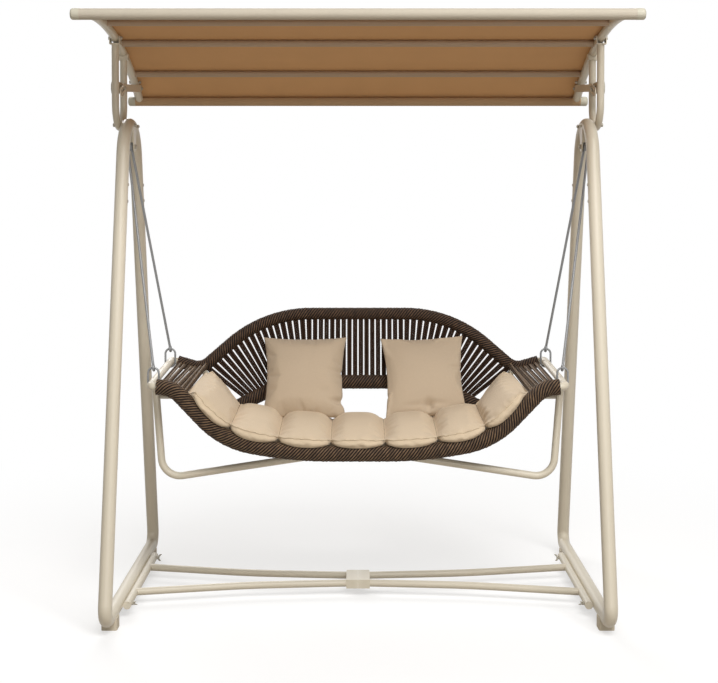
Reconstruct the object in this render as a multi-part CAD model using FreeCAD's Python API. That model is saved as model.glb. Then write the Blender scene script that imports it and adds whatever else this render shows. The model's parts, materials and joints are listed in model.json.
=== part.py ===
import FreeCAD, Part
import os
from math import atan2, cos, degrees, pi, radians, sin, sqrt, tan

# Garden swing with a rope-strung bench and a tilting canopy. Millimetres, +Z up, -Y is the front.
# Everything is modelled about the stand's middle plane, then moved so that the origin is the
# middle of the part's footprint box at floor level.

V = FreeCAD.Vector

# Stand
frame_half_spacing = 897.0
frame_tube = 50.0
frame_wall = 1.5
hoop_top = 1843.0
hoop_radius = 152.0
leg_lean = 14.1
joint_height = 1576.0
foot_bend_radius = 50.0
rail_height = 47.0
sleeve_length = 130.0
sleeve_wall = 2.0
pad_width = 57.0
pad_length = 60.0
pad_height = 42.0
pad_offset = 65.0
pad_corner = 8.0

# Spreader between the two base rails
spreader_tube = 30.0
spreader_half_length = 340.0
brace_tube = 28.0
brace_outer_y = 170.0
brace_inner_y = 50.0
brace_knee_x = 430.0
brace_knee_y = 84.0
brace_knee_radius = 1800.0
spreader_wall = 1.5
flange_thickness = 4.0
flange_half_width = 70.0
flange_height = 34.0
centre_plate_length = 46.0
centre_bolt_y = 22.0
wing_bolt_y = 312.0
wing_span = 34.0

# Swing pivots
pivot_height = 1757.0
pin_diameter = 12.0
cheek_thickness = 5.0
cheek_gap = 34.0
cheek_half_width = 38.0
cheek_nose_radius = 20.0
bush_wall = 3.0
rod_diameter = 10.0
eye_thickness = 10.0
eye_wall = 8.0
eye_spacing = 15.0

# Canopy posts and tilt clamp
post_tube = 28.0
post_wall = 1.5
post_front_y = -83.0
post_rear_y = 100.0
post_bottom = 1833.0
clevis_wall = 3.5
clevis_reach = 20.0
clevis_rise = 9.0
tilt_room = 4.5
pivot_bolt = 8.0
clamp_height = 1988.0
clamp_plate_thickness = 6.0
clamp_plate_height = 44.0
clamp_bolt = 10.0
knob_diameter = 58.0
knob_thickness = 15.0
knob_lobes = 8
tilt_range = 20.0

# Canopy
canopy_crown_y = -438.0
canopy_crown_z = 2204.0
canopy_radius = 2008.0
canopy_front_y = -662.0
canopy_rear_y = 500.0
canopy_rail = 32.0
canopy_wall = 1.5
canopy_bar = 36.0
bar_drop = 0.8
crossbar_tube = 25.0
crossbar_places = (-320.0, -10.0, 295.0)
crossbar_plug = 24.0
crossbar_drop = 1.5
canopy_half_width = 985.0
bar_cap_length = 31.0
fabric_thickness = 2.0
quadrant_thickness = 4.0
quadrant_band = 36.0
quadrant_arm_width = 30.0
quadrant_bolt_places = (360.0, 410.0)

# Seat
seat_tube = 30.0
seat_wall = 1.5
back_wrap = 50.0
front_wrap = 60.0
lower_wrap = 58.0
end_tube_x = 769.0
front_rim_y = -332.0
front_rim_low = 611.0
front_corner_z = 861.0
rear_corner_z = 885.0
corner_radius = 22.0
knee_x = 238.0
knee_radius = 1500.0
hip_x = 498.0
hip_rise = 47.0
hip_radius = 330.0
arm_x = 684.0
arm_drop = 7.0
arm_radius = 105.0
back_base_y = 258.0
back_base_z = 848.0
back_recline = 12.0
back_top = 1073.0
back_shoulder_x = 386.0
shoulder_radius = 500.0
back_dip_x = 645.0
back_dip_z = 850.0
dip_radius = 70.0
rail_tube = 25.0
rear_rail_y = 173.0
lower_bar_z = 796.0
lower_bar_shoulder_x = 298.0
lower_bar_bend = 150.0
lower_bar_end_x = 442.0
lower_bar_end_z = 724.0
front_hang_y = -247.0
rear_hang_y = 208.0
link_wire = 8.0
link_length = 74.0
link_side_gap = 1.0
low_eye_radius = 10.0
arch_tube = 28.0
arch_behind_link = 40.0
arch_drop_x = 740.0
arch_low = 492.0
arch_crown = 604.0
arch_corner_radius = 70.0
arch_crown_radius = 1300.0
brace_height = 808.0
brace_rear_x = 571.0

# Ropework and cushions
strand_width = 15.0
strand_thickness = 8.0
strand_fan_width = 10.5
back_centre_strands = 16
back_fan_strands = 22
back_centre_half = 190.0
seat_strands = 48
arm_strands = 6
arm_strand_width = 14.0
pan_share = 0.8
cushion_channels = 7
cushion_front_gap = 4.0
cushion_rear_gap = 8.0
cushion_crown = 74.0
cushion_seam = 34.0
cushion_end_gap = 12.0
pillow_side = 345.0
pillow_thickness = 120.0
pillow_lean = 28.0
pillow_foot_y = 20.0
pillow_places = (-212.0, 258.0)
pillow_pull_in = 14.0

# Clearances and small hardware
fit_gap = 0.05
rest_gap = 0.3
screw_shaft = 6.0
screw_head = 12.0
bolt_shaft = 8.0
bolt_head = 14.0
bolt_head_height = 5.5

axis_x = V(1, 0, 0)
axis_y = V(0, 1, 0)
axis_z = V(0, 0, 1)
nodes = {}


# Shared shapes

def mirrored(point):
    return V(-point.x, point.y, point.z)


def both_halves(right_points):
    """Points of a path that is the same on the left, from the left end to the right end."""
    return [mirrored(point) for point in reversed(right_points)] + list(right_points)


def bent_path(points, radii):
    """Straight runs through the points, joined by tangent arcs at the inner ones."""
    edges = []
    start = points[0]
    for before, corner, after, radius in zip(points, points[1:], points[2:], radii):
        to_before = (before - corner).normalize()
        to_after = (after - corner).normalize()
        half = to_before.getAngle(to_after) / 2
        reach = radius / tan(half)
        arc_start = corner + to_before * reach
        arc_end = corner + to_after * reach
        middle = corner + (to_before + to_after).normalize() * (radius / sin(half) - radius)
        edges.append(Part.LineSegment(start, arc_start).toShape())
        edges.append(Part.Arc(arc_start, middle, arc_end).toShape())
        start = arc_end
    edges.append(Part.LineSegment(start, points[-1]).toShape())
    return Part.Wire(edges)


def disc(path, diameter):
    """Round face square to the start of a path."""
    first = path.Edges[0]
    start = first.valueAt(first.FirstParameter)
    tangent = first.tangentAt(first.FirstParameter)
    return Part.Face(Part.Wire(Part.makeCircle(diameter / 2, start, tangent)))


def bar(path, diameter):
    """Solid round bar along a path."""
    return path.makePipe(disc(path, diameter))


def tube(path, diameter, wall):
    """Hollow round tube along a path."""
    ring = disc(path, diameter).cut(disc(path, diameter - 2 * wall)).Faces[0]
    return path.makePipe(ring)


def rod(start, end, diameter):
    """Straight round bar between two points."""
    return Part.makeCylinder(diameter / 2, (end - start).Length, start, end - start)


def straight_tube(start, end, diameter, wall):
    return rod(start, end, diameter).cut(rod(start, end, diameter - 2 * wall))


def block(low, high):
    size = high - low
    return Part.makeBox(size.x, size.y, size.z, low)


def hexagon_head(centre, direction, width, height):
    """Hexagonal bolt head or nut standing on a face."""
    across = V(0, 1, 0) if abs(direction.y) < 0.5 else V(1, 0, 0)
    side = direction.cross(across).normalize()
    radius = width / sqrt(3)
    ring = [across * (radius * cos(k * pi / 3)) + side * (radius * sin(k * pi / 3)) for k in range(7)]
    face = Part.Face(Part.makePolygon([centre + point for point in ring]))
    return face.extrude(direction * height)


def through_bolt(start, end, diameter, head):
    """Bolt with its head at the start and a nut at the end, as two separate solids."""
    along = (end - start).normalize()
    shank = rod(start - along * 0.01, end + along * bolt_head_height * 1.5, diameter)
    head_solid = hexagon_head(start, along * -1, head, bolt_head_height)
    nut = hexagon_head(end, along, head, bolt_head_height)
    nut = nut.cut(rod(end - along, end + along * bolt_head_height * 2, diameter + 2 * fit_gap))
    return [shank.fuse(head_solid).removeSplitter(), nut]


def plate_in_yz(wire, x_low, thickness):
    """Flat plate square to X from an outline drawn at x = 0."""
    plate = Part.Face(wire).extrude(axis_x * thickness)
    plate.translate(axis_x * x_low)
    return plate


def bolt_hole(point, half_length, diameter):
    """Cutter along X through a point."""
    return rod(point - axis_x * half_length, point + axis_x * half_length, diameter)


def group(solids):
    return Part.makeCompound(solids)


def mirror_x(shape):
    return shape.mirror(V(0, 0, 0), axis_x)


def add_pair(name, right_shape):
    """One node on each side from the right-hand shape."""
    nodes["right_" + name] = right_shape
    nodes["left_" + name] = mirror_x(right_shape)


def both_sides(right_solids):
    return group(list(right_solids) + [mirror_x(solid) for solid in right_solids])


# Stand: hoop, legs, joints and feet

lean = radians(leg_lean)
hoop_centre_z = hoop_top - hoop_radius
apex = V(frame_half_spacing, 0, hoop_centre_z + hoop_radius / sin(lean))


def leg_point(height, side):
    """Point on a leg's centre line; side -1 is the front leg and 1 the rear leg."""
    return V(frame_half_spacing, side * (apex.z - height) * tan(lean), height)


hoop_path = bent_path([leg_point(joint_height, -1), apex, leg_point(joint_height, 1)], [hoop_radius])
hoop_outer = bar(hoop_path, frame_tube)
rail_middle = V(frame_half_spacing, 0, rail_height)
leg_bore = frame_tube - 2 * frame_wall


def leg_path(side):
    points = [leg_point(joint_height, side), leg_point(rail_height, side), rail_middle]
    return bent_path(points, [foot_bend_radius])


def joint_screw(point, outward):
    """Screw into a joint sleeve, its head on the side that outward points to, and the hole it needs."""
    seat = point + outward * (frame_tube / 2 + fit_gap)
    tip = point + outward * (leg_bore / 2 - 2 * sleeve_wall)
    shaft = rod(seat + outward * 0.01, tip, screw_shaft)
    dome = Part.makeSphere(screw_head, seat - outward * (screw_head * 0.76))
    head = dome.common(rod(seat, seat + outward * screw_head, screw_head))
    hole = rod(seat + outward, tip - outward, screw_shaft + 2 * fit_gap)
    return shaft.fuse(head).removeSplitter(), hole


def build_stand():
    half = sleeve_length / 2
    sleeve_outer = leg_bore - 2 * rest_gap
    sleeves = []
    screws = []
    holes = []
    drop = half * cos(lean)
    joints = []
    for side in (-1, 1):
        joints.append((leg_point(joint_height, side), leg_point(joint_height - drop, side), axis_x * -1))
    joints.append((rail_middle, rail_middle + axis_y * half, axis_x))
    for middle, lower_end, outward in joints:
        upper_end = middle * 2 - lower_end
        sleeves.append(straight_tube(lower_end, upper_end, sleeve_outer, sleeve_wall))
        for end in (lower_end, upper_end):
            screw, hole = joint_screw((middle + end) * 0.5, outward)
            screws.append(screw)
            holes.append(hole)
    sleeves = [sleeve.cut(group(holes)) for sleeve in sleeves]
    wing_holes = [wing_hole(side) for side in (-1, 1)]
    post_holes = [bolt_hole(point, 60, bolt_shaft + 2 * fit_gap) for point in post_bolt_points]
    add_pair("top_hoop", tube(hoop_path, frame_tube, frame_wall).cut(group(holes + post_holes)))
    for side, name in ((-1, "front_leg"), (1, "rear_leg")):
        add_pair(name, tube(leg_path(side), frame_tube, frame_wall).cut(group(holes + wing_holes)))
    nodes["joint_sleeves"] = both_sides(sleeves)
    nodes["joint_screws"] = both_sides(screws)
    nodes["foot_pads"] = both_sides([foot_pad(side) for side in (-1, 1)])


def foot_pad(side):
    """Cradle under the bend of a leg, with rounded upright corners and a lip up both sides."""
    centre_y = leg_point(rail_height, side).y - side * (foot_bend_radius + pad_offset)
    low = V(frame_half_spacing - pad_width / 2, centre_y - pad_length / 2, 0)
    high = V(frame_half_spacing + pad_width / 2, centre_y + pad_length / 2, pad_height)
    pad = block(low, high)
    upright = [edge for edge in pad.Edges if abs(edge.tangentAt(edge.FirstParameter).z) > 0.9]
    pad = pad.makeFillet(pad_corner, upright)
    return pad.cut(bar(leg_path(side), frame_tube + 2 * fit_gap))


# Spreader: an end tube beside each base rail, two converging tubes and a bolted centre flange

spreader_x = frame_half_spacing - frame_tube / 2 - spreader_tube / 2 - rest_gap


def wing_hole(side):
    start = V(spreader_x - spreader_tube, side * wing_bolt_y, rail_height)
    end = V(frame_half_spacing, side * wing_bolt_y, rail_height)
    return rod(start, end, bolt_shaft + 2 * fit_gap)


def wing_bolt(side):
    """Threaded shank through the end tube into the base rail, with a two-winged head."""
    seat = V(spreader_x - spreader_tube / 2 - fit_gap, side * wing_bolt_y, rail_height)
    tip = V(frame_half_spacing - frame_tube / 2 + 6 * frame_wall, side * wing_bolt_y, rail_height)
    shank = rod(seat - axis_x * 4, tip, bolt_shaft)
    boss = Part.makeCone(7.5, 5.5, 9, seat, axis_x * -1)
    outline = [V(0, -5, 1), V(0, -wing_span / 2, 9), V(0, -wing_span / 2, 17), V(0, -4, 8)]
    outline += [V(0, -point.y, point.z) for point in reversed(outline)]
    wings = plate_in_yz(Part.makePolygon(outline + outline[:1]), -1.5, 3)
    wings.rotate(V(0, 0, 0), axis_y, -90)
    wings.rotate(V(0, 0, 0), axis_x, side * 35)
    wings.translate(seat)
    return shank.fuse([boss, wings]).removeSplitter()


def build_spreader():
    end_low = V(spreader_x, -spreader_half_length, rail_height)
    end_high = V(spreader_x, spreader_half_length, rail_height)
    end_tube = straight_tube(end_low, end_high, spreader_tube, spreader_wall)
    caps = [rod(end_low, end_low + axis_y * 3, spreader_tube), rod(end_high - axis_y * 3, end_high, spreader_tube)]
    end_outer = rod(end_low, end_high, spreader_tube)
    flange_x = rest_gap / 2 + flange_thickness
    pieces = caps
    for side in (-1, 1):
        start = V(spreader_x, side * brace_outer_y, rail_height)
        knee = V(brace_knee_x, side * brace_knee_y, rail_height)
        end = V(flange_x - 0.5, side * brace_inner_y, rail_height)
        brace = tube(bent_path([start, knee, end], [brace_knee_radius]), brace_tube, spreader_wall)
        pieces.append(brace.cut(end_outer))
    half_height = flange_height / 2
    flange = block(V(rest_gap / 2, -flange_half_width, rail_height - half_height),
                   V(flange_x, flange_half_width, rail_height + half_height))
    plate_low = rail_height + brace_tube / 2 - 1
    plate = block(V(rest_gap / 2, -flange_half_width, plate_low),
                  V(centre_plate_length, flange_half_width, rail_height + half_height))
    skirts = []
    for side in (-1, 1):
        inner = side * (flange_half_width - flange_thickness)
        outer = side * flange_half_width
        skirts.append(block(V(rest_gap / 2, min(inner, outer), rail_height - half_height),
                            V(centre_plate_length, max(inner, outer), rail_height + half_height)))
    spreader = end_tube.fuse(pieces + skirts + [flange, plate]).removeSplitter()
    bolt_points = [V(0, side * centre_bolt_y, rail_height - 3) for side in (-1, 1)]
    centre_holes = [bolt_hole(point, 20, bolt_shaft + 2 * fit_gap) for point in bolt_points]
    add_pair("spreader", spreader.cut(group(centre_holes + [wing_hole(side) for side in (-1, 1)])))
    nodes["spreader_wing_bolts"] = both_sides([wing_bolt(side) for side in (-1, 1)])
    bolts = []
    for point in bolt_points:
        grip = axis_x * (flange_x + fit_gap)
        bolts += through_bolt(point - grip, point + grip, bolt_shaft, bolt_head)
    nodes["spreader_centre_bolts"] = group(bolts)


# Swing pivots and hanger rods

pivot = V(frame_half_spacing, 0, pivot_height)
bush_outer = pin_diameter + 2 * bush_wall
eye_outer = bush_outer + 2 * eye_wall


def build_pivots():
    nose = pivot_height - cheek_nose_radius
    top = hoop_top - frame_tube / 4
    outline = Part.Wire([
        Part.LineSegment(V(0, cheek_half_width, top), V(0, cheek_nose_radius, pivot_height)).toShape(),
        Part.Arc(V(0, cheek_nose_radius, pivot_height), V(0, 0, nose),
                 V(0, -cheek_nose_radius, pivot_height)).toShape(),
        Part.LineSegment(V(0, -cheek_nose_radius, pivot_height), V(0, -cheek_half_width, top)).toShape(),
        Part.LineSegment(V(0, -cheek_half_width, top), V(0, cheek_half_width, top)).toShape()])
    inner_face = frame_half_spacing - cheek_gap / 2
    outer_face = frame_half_spacing + cheek_gap / 2
    hole = bolt_hole(pivot, 60, pin_diameter + 2 * fit_gap)
    cheeks = []
    for x_low in (inner_face - cheek_thickness, outer_face):
        cheeks.append(plate_in_yz(outline, x_low, cheek_thickness).cut(hoop_outer.fuse(hole)))
    add_pair("swing_bracket", group(cheeks))
    grip = axis_x * (cheek_gap / 2 + cheek_thickness + fit_gap)
    add_pair("pivot_pin", group(through_bolt(pivot + grip, pivot - grip, pin_diameter, 18.0)))
    half = axis_x * (cheek_gap / 2 - rest_gap)
    bush = rod(pivot - half, pivot + half, bush_outer)
    add_pair("pivot_bush", bush.cut(bolt_hole(pivot, 60, pin_diameter + 2 * fit_gap)))


def end_tube_height(y):
    """Height of the sloping end tube's centre line."""
    front = front_rim_y
    rear = rear_corner_y
    return front_corner_z + (rear_corner_z - front_corner_z) * (y - front) / (rear - front)


def hanger(y, eye_side):
    """Oval link round the end tube, and the rod from it up to the pivot."""
    link_low = end_tube_height(y) - seat_tube / 2 - link_wire / 2 - rest_gap
    link = oval_link(V(end_tube_x, y, link_low + link_length / 2))
    link_top = V(end_tube_x, y, link_low + link_length)
    high_eye = pivot + axis_x * (eye_side * eye_spacing / 2)
    along = (high_eye - link_top).normalize()
    low_eye = link_top + along * (low_eye_radius - link_wire / 2 - rod_diameter / 2 - 1.5 * rest_gap)
    across = along.cross(axis_x).normalize()
    ring = Part.makeTorus(low_eye_radius, rod_diameter / 2, low_eye, across.cross(along))
    stem = rod(low_eye + along * low_eye_radius, high_eye, rod_diameter)
    half = axis_x * (eye_thickness / 2)
    eye = rod(high_eye - half, high_eye + half, eye_outer)
    hole = rod(high_eye - half * 4, high_eye + half * 4, bush_outer + 2 * fit_gap)
    hanger_rod = ring.fuse([stem, eye]).removeSplitter().cut(hole)
    return link, hanger_rod


def oval_link(centre):
    """Chain link standing across the swing: two straight sides and two half rings."""
    link_width = seat_tube + 2 * link_side_gap + link_wire
    half_straight = (link_length - link_width) / 2
    pieces = []
    for side in (-1, 1):
        middle = centre + axis_z * (side * half_straight)
        circle = Part.Face(Part.Wire(Part.makeCircle(link_wire / 2, middle + axis_x * (link_width / 2), axis_z)))
        pieces.append(circle.revolve(middle, axis_y, -180 * side))
        run = centre + axis_x * (side * link_width / 2)
        pieces.append(rod(run - axis_z * half_straight, run + axis_z * half_straight, link_wire))
    return pieces[0].fuse(pieces[1:]).removeSplitter()


def build_hangers():
    front_link, front_rod = hanger(front_hang_y, 1)
    rear_link, rear_rod = hanger(rear_hang_y, -1)
    nodes["hanger_links"] = both_sides([front_link, rear_link])
    add_pair("front_rod", front_rod)
    add_pair("rear_rod", rear_rod)


# Canopy posts with the tilt pivots and clamps

post_x = frame_half_spacing + frame_tube / 2 + post_tube / 2 + rest_gap
canopy_centre = V(0, canopy_crown_y, canopy_crown_z - canopy_radius)


def canopy_point(y, radius=canopy_radius, x=0.0):
    """Point of the canopy's side profile at a depth."""
    return V(x, y, canopy_centre.z + sqrt(radius ** 2 - (y - canopy_crown_y) ** 2))


tilt_pivot = canopy_point(post_front_y, x=post_x)
clamp_point = V(post_x, (post_front_y + post_rear_y) / 2, clamp_height)
post_bend = (post_rear_y - post_front_y) / 2
clevis_half = canopy_rail / 2 + rest_gap + clevis_wall
clevis_base = canopy_rail / 2 + rest_gap


def crossing_points():
    """Where the bend of a post crosses the crown of its hoop, seen from the side."""
    bend_y = (post_front_y + post_rear_y) / 2
    bend_z = post_bottom + post_bend
    gap = sqrt(bend_y ** 2 + (bend_z - hoop_centre_z) ** 2)
    along = (hoop_radius ** 2 - post_bend ** 2 + gap ** 2) / (2 * gap)
    out = sqrt(hoop_radius ** 2 - along ** 2)
    unit_y = bend_y / gap
    unit_z = (bend_z - hoop_centre_z) / gap
    points = []
    for side in (-1, 1):
        y = unit_y * along + unit_z * out * side
        z = hoop_centre_z + unit_z * along - unit_y * out * side
        points.append(V(frame_half_spacing, y, z))
    return points


post_bolt_points = crossing_points()


def post_saddle(y, cheek_rise, room):
    """Fork on a post leg that takes the side rail between two cheeks, with room under the rail to tilt."""
    point = canopy_point(y, x=post_x)
    foot = post_leg_top(y, room)
    low = V(post_x - clevis_half, y - clevis_reach, foot)
    high = V(post_x + clevis_half, y + clevis_reach, point.z + cheek_rise)
    fork = block(low, high)
    sharp = [edge for edge in fork.Edges if abs(edge.tangentAt(edge.FirstParameter).x) > 0.9]
    fork = fork.makeFillet(clevis_reach / 2, [edge for edge in sharp if edge.CenterOfMass.z > foot + 1])
    return fork.cut(bar(canopy_rail_path(), canopy_rail + 4 * rest_gap).fuse(rail_slot(y, room)))


def post_leg_top(y, room):
    """Height where a post leg ends, clear below the sloping rail."""
    slope_drop = clevis_reach * abs(y - canopy_crown_y) / canopy_radius
    drop = canopy_rail / 2 + clevis_wall + max(slope_drop, room)
    return canopy_point(y).z - drop - rest_gap


def rail_slot(y, room):
    """Slot open at the top, so that the rail lifts out of its fork or turns in it."""
    half = canopy_rail / 2 + 2 * rest_gap
    point = canopy_point(y, x=post_x)
    floor = point.z - canopy_rail / 2 - room if room else point.z
    low = V(post_x - half, y - 3 * clevis_reach, floor)
    return block(low, V(post_x + half, y + 3 * clevis_reach, point.z + 4 * canopy_rail))


def canopy_rail_path():
    front = canopy_point(canopy_front_y, x=post_x)
    rear = canopy_point(canopy_rear_y, x=post_x)
    middle = canopy_point((canopy_front_y + canopy_rear_y) / 2, x=post_x)
    return Part.Wire([Part.Arc(front, middle, rear).toShape()])


def build_posts():
    front_top = V(post_x, post_front_y, post_leg_top(post_front_y, tilt_room))
    rear_top = V(post_x, post_rear_y, post_leg_top(post_rear_y, 0))
    bend_z = post_bottom + post_bend
    path = Part.Wire([
        Part.LineSegment(front_top, V(post_x, post_front_y, bend_z)).toShape(),
        Part.Arc(V(post_x, post_front_y, bend_z), V(post_x, clamp_point.y, post_bottom),
                 V(post_x, post_rear_y, bend_z)).toShape(),
        Part.LineSegment(V(post_x, post_rear_y, bend_z), rear_top).toShape()])
    half_plate = clamp_plate_thickness / 2
    plate = block(V(post_x - half_plate, post_front_y, clamp_height - clamp_plate_height / 2),
                  V(post_x + half_plate, post_rear_y, clamp_height + clamp_plate_height / 2))
    plate = plate.cut(bar(path, post_tube - post_wall))
    post = tube(path, post_tube, post_wall)
    forks = [post_saddle(post_front_y, clevis_rise, tilt_room), post_saddle(post_rear_y, 0, 0)]
    post = post.fuse([plate] + forks)
    holes = [bolt_hole(point, 80, bolt_shaft + 2 * fit_gap) for point in post_bolt_points]
    holes.append(bolt_hole(tilt_pivot, 60, pivot_bolt + 2 * fit_gap))
    holes.append(bolt_hole(clamp_point, 60, clamp_bolt + 2 * fit_gap))
    add_pair("canopy_post", post.removeSplitter().cut(group(holes)))
    bolts = []
    for point in post_bolt_points:
        outside = V(post_x + post_tube / 2 + fit_gap, point.y, point.z)
        inside = V(frame_half_spacing - frame_tube / 2 - fit_gap, point.y, point.z)
        bolts += through_bolt(outside, inside, bolt_shaft, bolt_head)
    nodes["post_bolts"] = both_sides(bolts)
    grip = axis_x * (clevis_half + fit_gap)
    nodes["tilt_pivot_bolts"] = both_sides(through_bolt(tilt_pivot + grip, tilt_pivot - grip, pivot_bolt, bolt_head))


quadrant_outer_x = post_x - canopy_rail / 2


def build_clamps():
    """Coach bolt through quadrant and clamp plate, its spacer, and the lobed hand knob."""
    plate_inner = post_x - clamp_plate_thickness / 2
    plate_outer = post_x + clamp_plate_thickness / 2
    head_x = quadrant_outer_x - quadrant_thickness - rest_gap
    start = V(head_x, clamp_point.y, clamp_point.z)
    knob_low = V(plate_outer + rest_gap, clamp_point.y, clamp_point.z)
    hub_length = post_tube / 2 - clamp_plate_thickness / 2 + rest_gap
    knob_high = knob_low + axis_x * (hub_length + knob_thickness)
    shank = rod(start - axis_x * 0.01, knob_high - axis_x * knob_thickness / 2, clamp_bolt)
    dome = Part.makeSphere(clamp_bolt * 1.3, start + axis_x * clamp_bolt * 0.8)
    head = dome.common(rod(start, start - axis_x * clamp_bolt, clamp_bolt * 2))
    spacer_low = V(quadrant_outer_x + rest_gap, clamp_point.y, clamp_point.z)
    spacer = rod(spacer_low, V(plate_inner, clamp_point.y, clamp_point.z), clamp_bolt * 2)
    spacer = spacer.cut(bolt_hole(clamp_point, 60, clamp_bolt + 2 * fit_gap))
    add_pair("clamp_bolt", group([shank.fuse(head).removeSplitter(), spacer]))
    hub = rod(knob_low, knob_high, clamp_bolt * 2.6)
    cap = rod(knob_low + axis_x * hub_length, knob_high, knob_diameter)
    rim = [edge for edge in cap.Edges if edge.Closed]
    cap = cap.makeFillet(knob_thickness / 4, rim)
    flutes = []
    for k in range(knob_lobes):
        angle = 2 * pi * k / knob_lobes
        out = knob_diameter / 2 + knob_thickness / 3
        centre = knob_low + V(0, out * cos(angle), out * sin(angle))
        flutes.append(rod(centre, centre + axis_x * 60, knob_thickness))
    bore = rod(knob_low - axis_x, knob_high - axis_x * knob_thickness / 3, clamp_bolt + 2 * fit_gap)
    add_pair("tilt_knob", hub.fuse(cap.cut(group(flutes))).removeSplitter().cut(bore))


# Canopy frame and fabric

bar_offset = canopy_radius + canopy_rail / 2 - canopy_bar / 2 - bar_drop
front_bar_point = canopy_point(canopy_front_y, bar_offset)
rear_bar_point = canopy_point(canopy_rear_y, bar_offset)
bar_half = canopy_half_width - bar_cap_length


def profile_angle(y):
    """Angle of a canopy point about the arc's centre, from +Y."""
    point = canopy_point(y)
    return degrees(atan2(point.z - canopy_centre.z, y - canopy_crown_y))


def along_x(point, half_length, diameter):
    return rod(point - axis_x * half_length, point + axis_x * half_length, diameter)


def build_canopy_frame():
    crossbar_radius = canopy_radius + (canopy_rail - crossbar_tube) / 2 - crossbar_drop
    end_bars = [along_x(point, bar_half, canopy_bar) for point in (front_bar_point, rear_bar_point)]
    cross_points = [canopy_point(y, crossbar_radius) for y in crossbar_places]
    screw_holes = [V(post_x, point.y, point.z) for point in cross_points]
    quadrant_holes = [canopy_point(y, x=post_x) for y in quadrant_bolt_places]
    rail = tube(canopy_rail_path(), canopy_rail, canopy_wall).cut(group(end_bars))
    holes = [bolt_hole(point, 40, screw_shaft + 2 * fit_gap) for point in screw_holes + quadrant_holes]
    holes.append(bolt_hole(tilt_pivot, 60, pivot_bolt + 2 * fit_gap))
    add_pair("canopy_rail", rail.cut(group(holes)))
    for point, name in ((front_bar_point, "canopy_front_bar"), (rear_bar_point, "canopy_rear_bar")):
        bore = along_x(point, bar_half, canopy_bar - 2 * canopy_wall)
        nodes[name] = along_x(point, bar_half, canopy_bar).cut(bore)
    rail_outer = bar(canopy_rail_path(), canopy_rail)
    rails = rail_outer.fuse(mirror_x(rail_outer))
    for point, name in zip(cross_points, ("front_crossbar", "middle_crossbar", "rear_crossbar")):
        bore = along_x(point, post_x - canopy_rail / 2 - crossbar_plug, crossbar_tube - 2 * canopy_wall)
        crossbar = along_x(point, post_x, crossbar_tube).cut(bore).cut(rails)
        crossbar = max(crossbar.Solids, key=lambda solid: solid.Volume)
        ends = [point + axis_x * post_x * side for side in (-1, 1)]
        nodes[name] = crossbar.cut(group([bolt_hole(end, 32, screw_shaft + 2 * fit_gap) for end in ends]))
    nodes["crossbar_screws"] = both_sides([crossbar_screw(point) for point in screw_holes])
    nodes["canopy_bar_caps"] = both_sides([bar_cap(point) for point in (front_bar_point, rear_bar_point)])


def crossbar_screw(point):
    seat = point + axis_x * (canopy_rail / 2 + fit_gap)
    shaft = rod(seat + axis_x * 0.01, point - axis_x * (canopy_rail / 2 + crossbar_plug / 3), screw_shaft)
    dome = Part.makeSphere(screw_head, seat - axis_x * (screw_head * 0.76))
    head = dome.common(rod(seat, seat + axis_x * screw_head, screw_head))
    return shaft.fuse(head).removeSplitter()


def bar_cap(point):
    """Domed plug in the end of a canopy bar."""
    end = point + axis_x * bar_half
    plug = rod(end - axis_x * bar_cap_length, end, canopy_bar - 2 * canopy_wall - 2 * fit_gap)
    head = rod(end, end + axis_x * bar_cap_length, canopy_bar + 2 * fabric_thickness)
    outer = [edge for edge in head.Edges if edge.Closed and edge.CenterOfMass.x > end.x + 1]
    return plug.fuse(head.makeFillet(canopy_bar / 4, outer)).removeSplitter()


def build_fabric():
    """One sheet over the rails, with a pocket round the front bar and one round the rear bar."""
    inner = canopy_radius + canopy_rail / 2 + rest_gap
    outer = inner + fabric_thickness
    pocket_bore = canopy_bar + 2 * rest_gap
    pocket_outer = pocket_bore + 2 * fabric_thickness
    start = profile_angle(canopy_rear_y)
    sweep = profile_angle(canopy_front_y) - start
    corner = Part.Face(Part.makePolygon([
        V(-bar_half, 0, inner), V(bar_half, 0, inner), V(bar_half, 0, outer), V(-bar_half, 0, outer),
        V(-bar_half, 0, inner)]))
    corner.rotate(V(0, 0, 0), axis_x, start - 90)
    corner.translate(canopy_centre)
    sheet = corner.revolve(canopy_centre, axis_x, sweep)
    pockets = [along_x(point, bar_half, pocket_outer) for point in (front_bar_point, rear_bar_point)]
    bores = [along_x(point, bar_half, pocket_bore) for point in (front_bar_point, rear_bar_point)]
    rail_room = bar(canopy_rail_path(), canopy_rail + rest_gap)
    bores += [rail_room, mirror_x(rail_room)]
    nodes["canopy_fabric"] = sheet.fuse(pockets).removeSplitter().cut(group(bores))


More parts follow.
